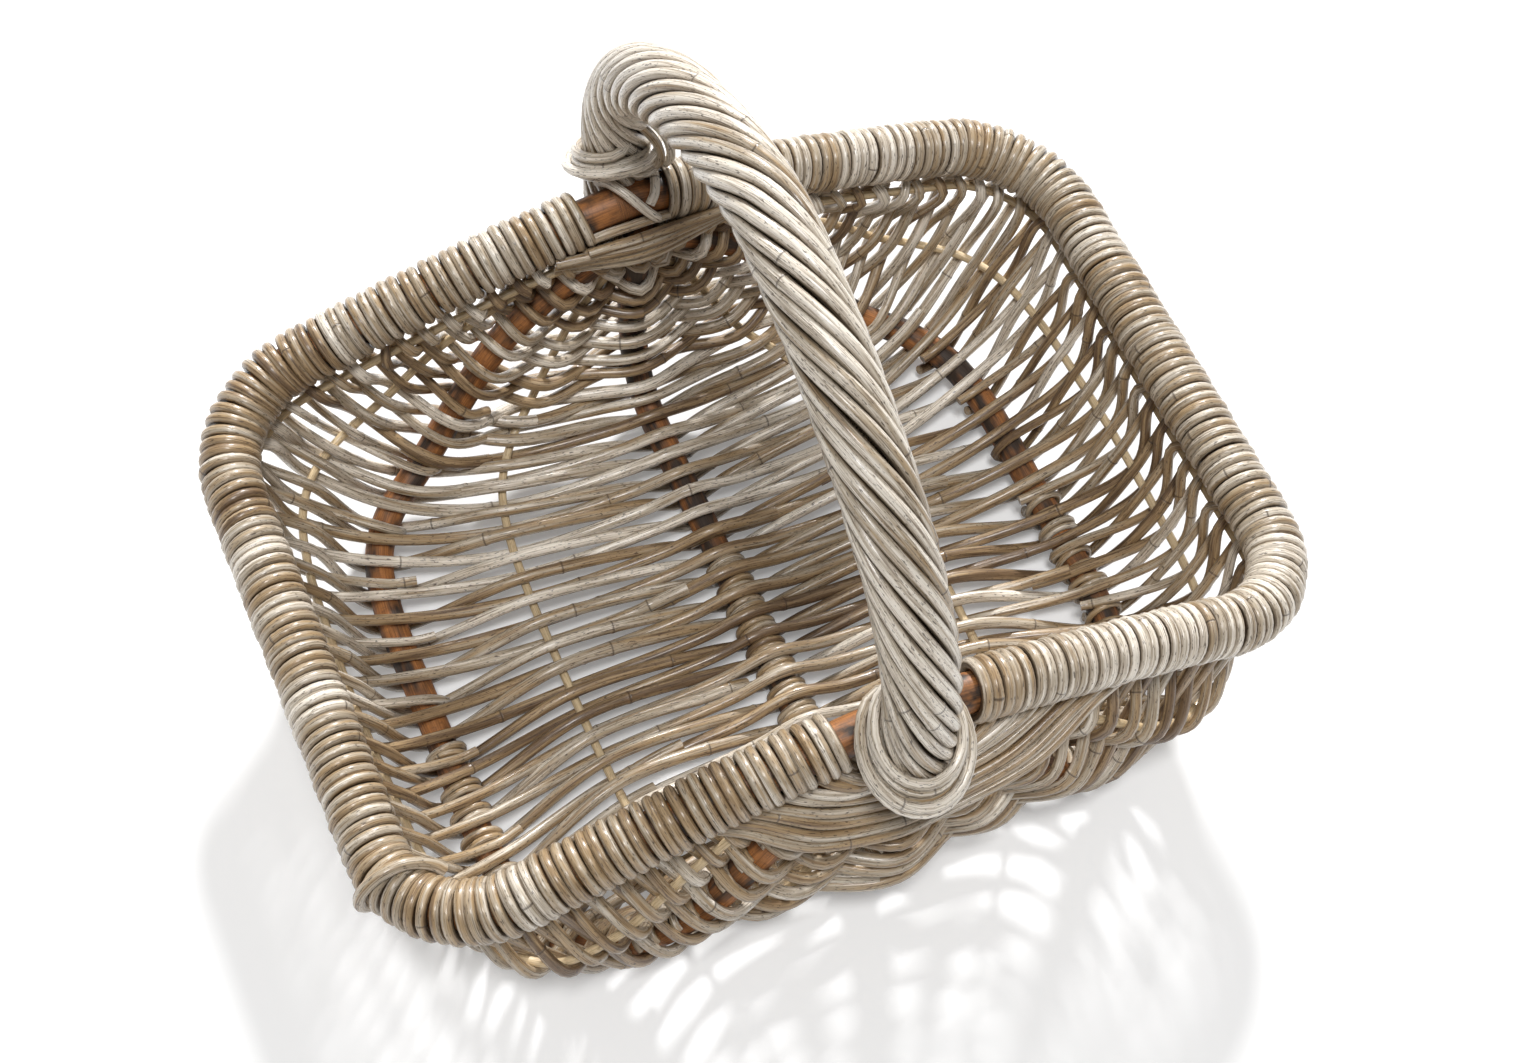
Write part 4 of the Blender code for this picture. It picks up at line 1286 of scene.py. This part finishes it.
def add_lights(scene):
    """A low light from behind on the right, a high one from the front, and a white room."""
    world = bpy.data.worlds.new("white_room")
    scene.world = world
    world.use_nodes = True
    tree = world.node_tree
    room = tree.nodes["Background"]
    feed(tree, room, {"Color": (1, 1, 1, 1), "Strength": ROOM_STRENGTH})
    white = add(tree, "Background", {"Color": (1, 1, 1, 1), "Strength": 1.0})
    seen = add(tree, "LightPath").outputs["Is Camera Ray"]
    both = add(tree, "MixShader", {0: seen, 1: room, 2: white})
    feed(tree, tree.nodes["World Output"], {"Surface": both})
    for name, strength, width, toward in LAMPS:
        light = bpy.data.lights.new(name, "SUN")
        light.energy = strength
        light.angle = math.radians(width)
        lamp = bpy.data.objects.new(name, light)
        lamp.rotation_euler = Vector(toward).to_track_quat("Z", "Y").to_euler()
        bpy.context.collection.objects.link(lamp)


def add_camera(scene):
    """The camera, where it stood for the photograph."""
    data = bpy.data.cameras.new("camera")
    data.lens = CAMERA_LENS_MM
    data.sensor_width = 36.0
    camera = bpy.data.objects.new("camera", data)
    turn = (Matrix.Rotation(-CAMERA_AZIMUTH, 4, "Z")
            @ Matrix.Rotation(math.pi / 2 - CAMERA_ELEVATION, 4, "X")
            @ Matrix.Rotation(CAMERA_ROLL, 4, "Z"))
    camera.matrix_world = Matrix.Translation(CAMERA_PLACE) @ turn
    bpy.context.collection.objects.link(camera)
    scene.camera = camera


PIECE_OPERATORS = (
    BASKET_OT_rim_pole,
    BASKET_OT_rim_lapping,
    BASKET_OT_ribs,
    BASKET_OT_stakes,
    BASKET_OT_weaving,
    BASKET_OT_rib_lashing,
    BASKET_OT_ear_canes,
    BASKET_OT_handle_roping,
    BASKET_OT_foot_bindings,
    BASKET_OT_stage,
)


class BASKET_PT_pieces(bpy.types.Panel):
    """Lists the pieces of the basket and their sizes and colours."""

    bl_idname = "BASKET_PT_pieces"
    bl_label = "Rattan basket"
    bl_space_type = "VIEW_3D"
    bl_region_type = "UI"
    bl_category = "Basket"

    def draw(self, context):
        for group in (context.scene.basket_sizes, context.scene.basket_colours):
            for name in group.__annotations__:
                self.layout.prop(group, name)
        for piece in PIECE_OPERATORS:
            self.layout.operator(piece.bl_idname)


CLASSES = (BasketSizes, BasketColours, *PIECE_OPERATORS, BASKET_PT_pieces)


def register():
    for made in CLASSES:
        bpy.utils.register_class(made)
    bpy.types.Scene.basket_sizes = PointerProperty(type=BasketSizes)
    bpy.types.Scene.basket_colours = PointerProperty(type=BasketColours)


def unregister():
    del bpy.types.Scene.basket_sizes
    del bpy.types.Scene.basket_colours
    for made in reversed(CLASSES):
        bpy.utils.unregister_class(made)


def main():
    register()
    bpy.ops.basket.rim_pole()
    bpy.ops.basket.rim_lapping()
    bpy.ops.basket.ribs()
    bpy.ops.basket.stakes()
    bpy.ops.basket.weaving()
    bpy.ops.basket.rib_lashing()
    bpy.ops.basket.ear_canes()
    bpy.ops.basket.handle_roping()
    bpy.ops.basket.foot_bindings()
    bpy.ops.basket.stage()


if __name__ == "__main__":
    main()
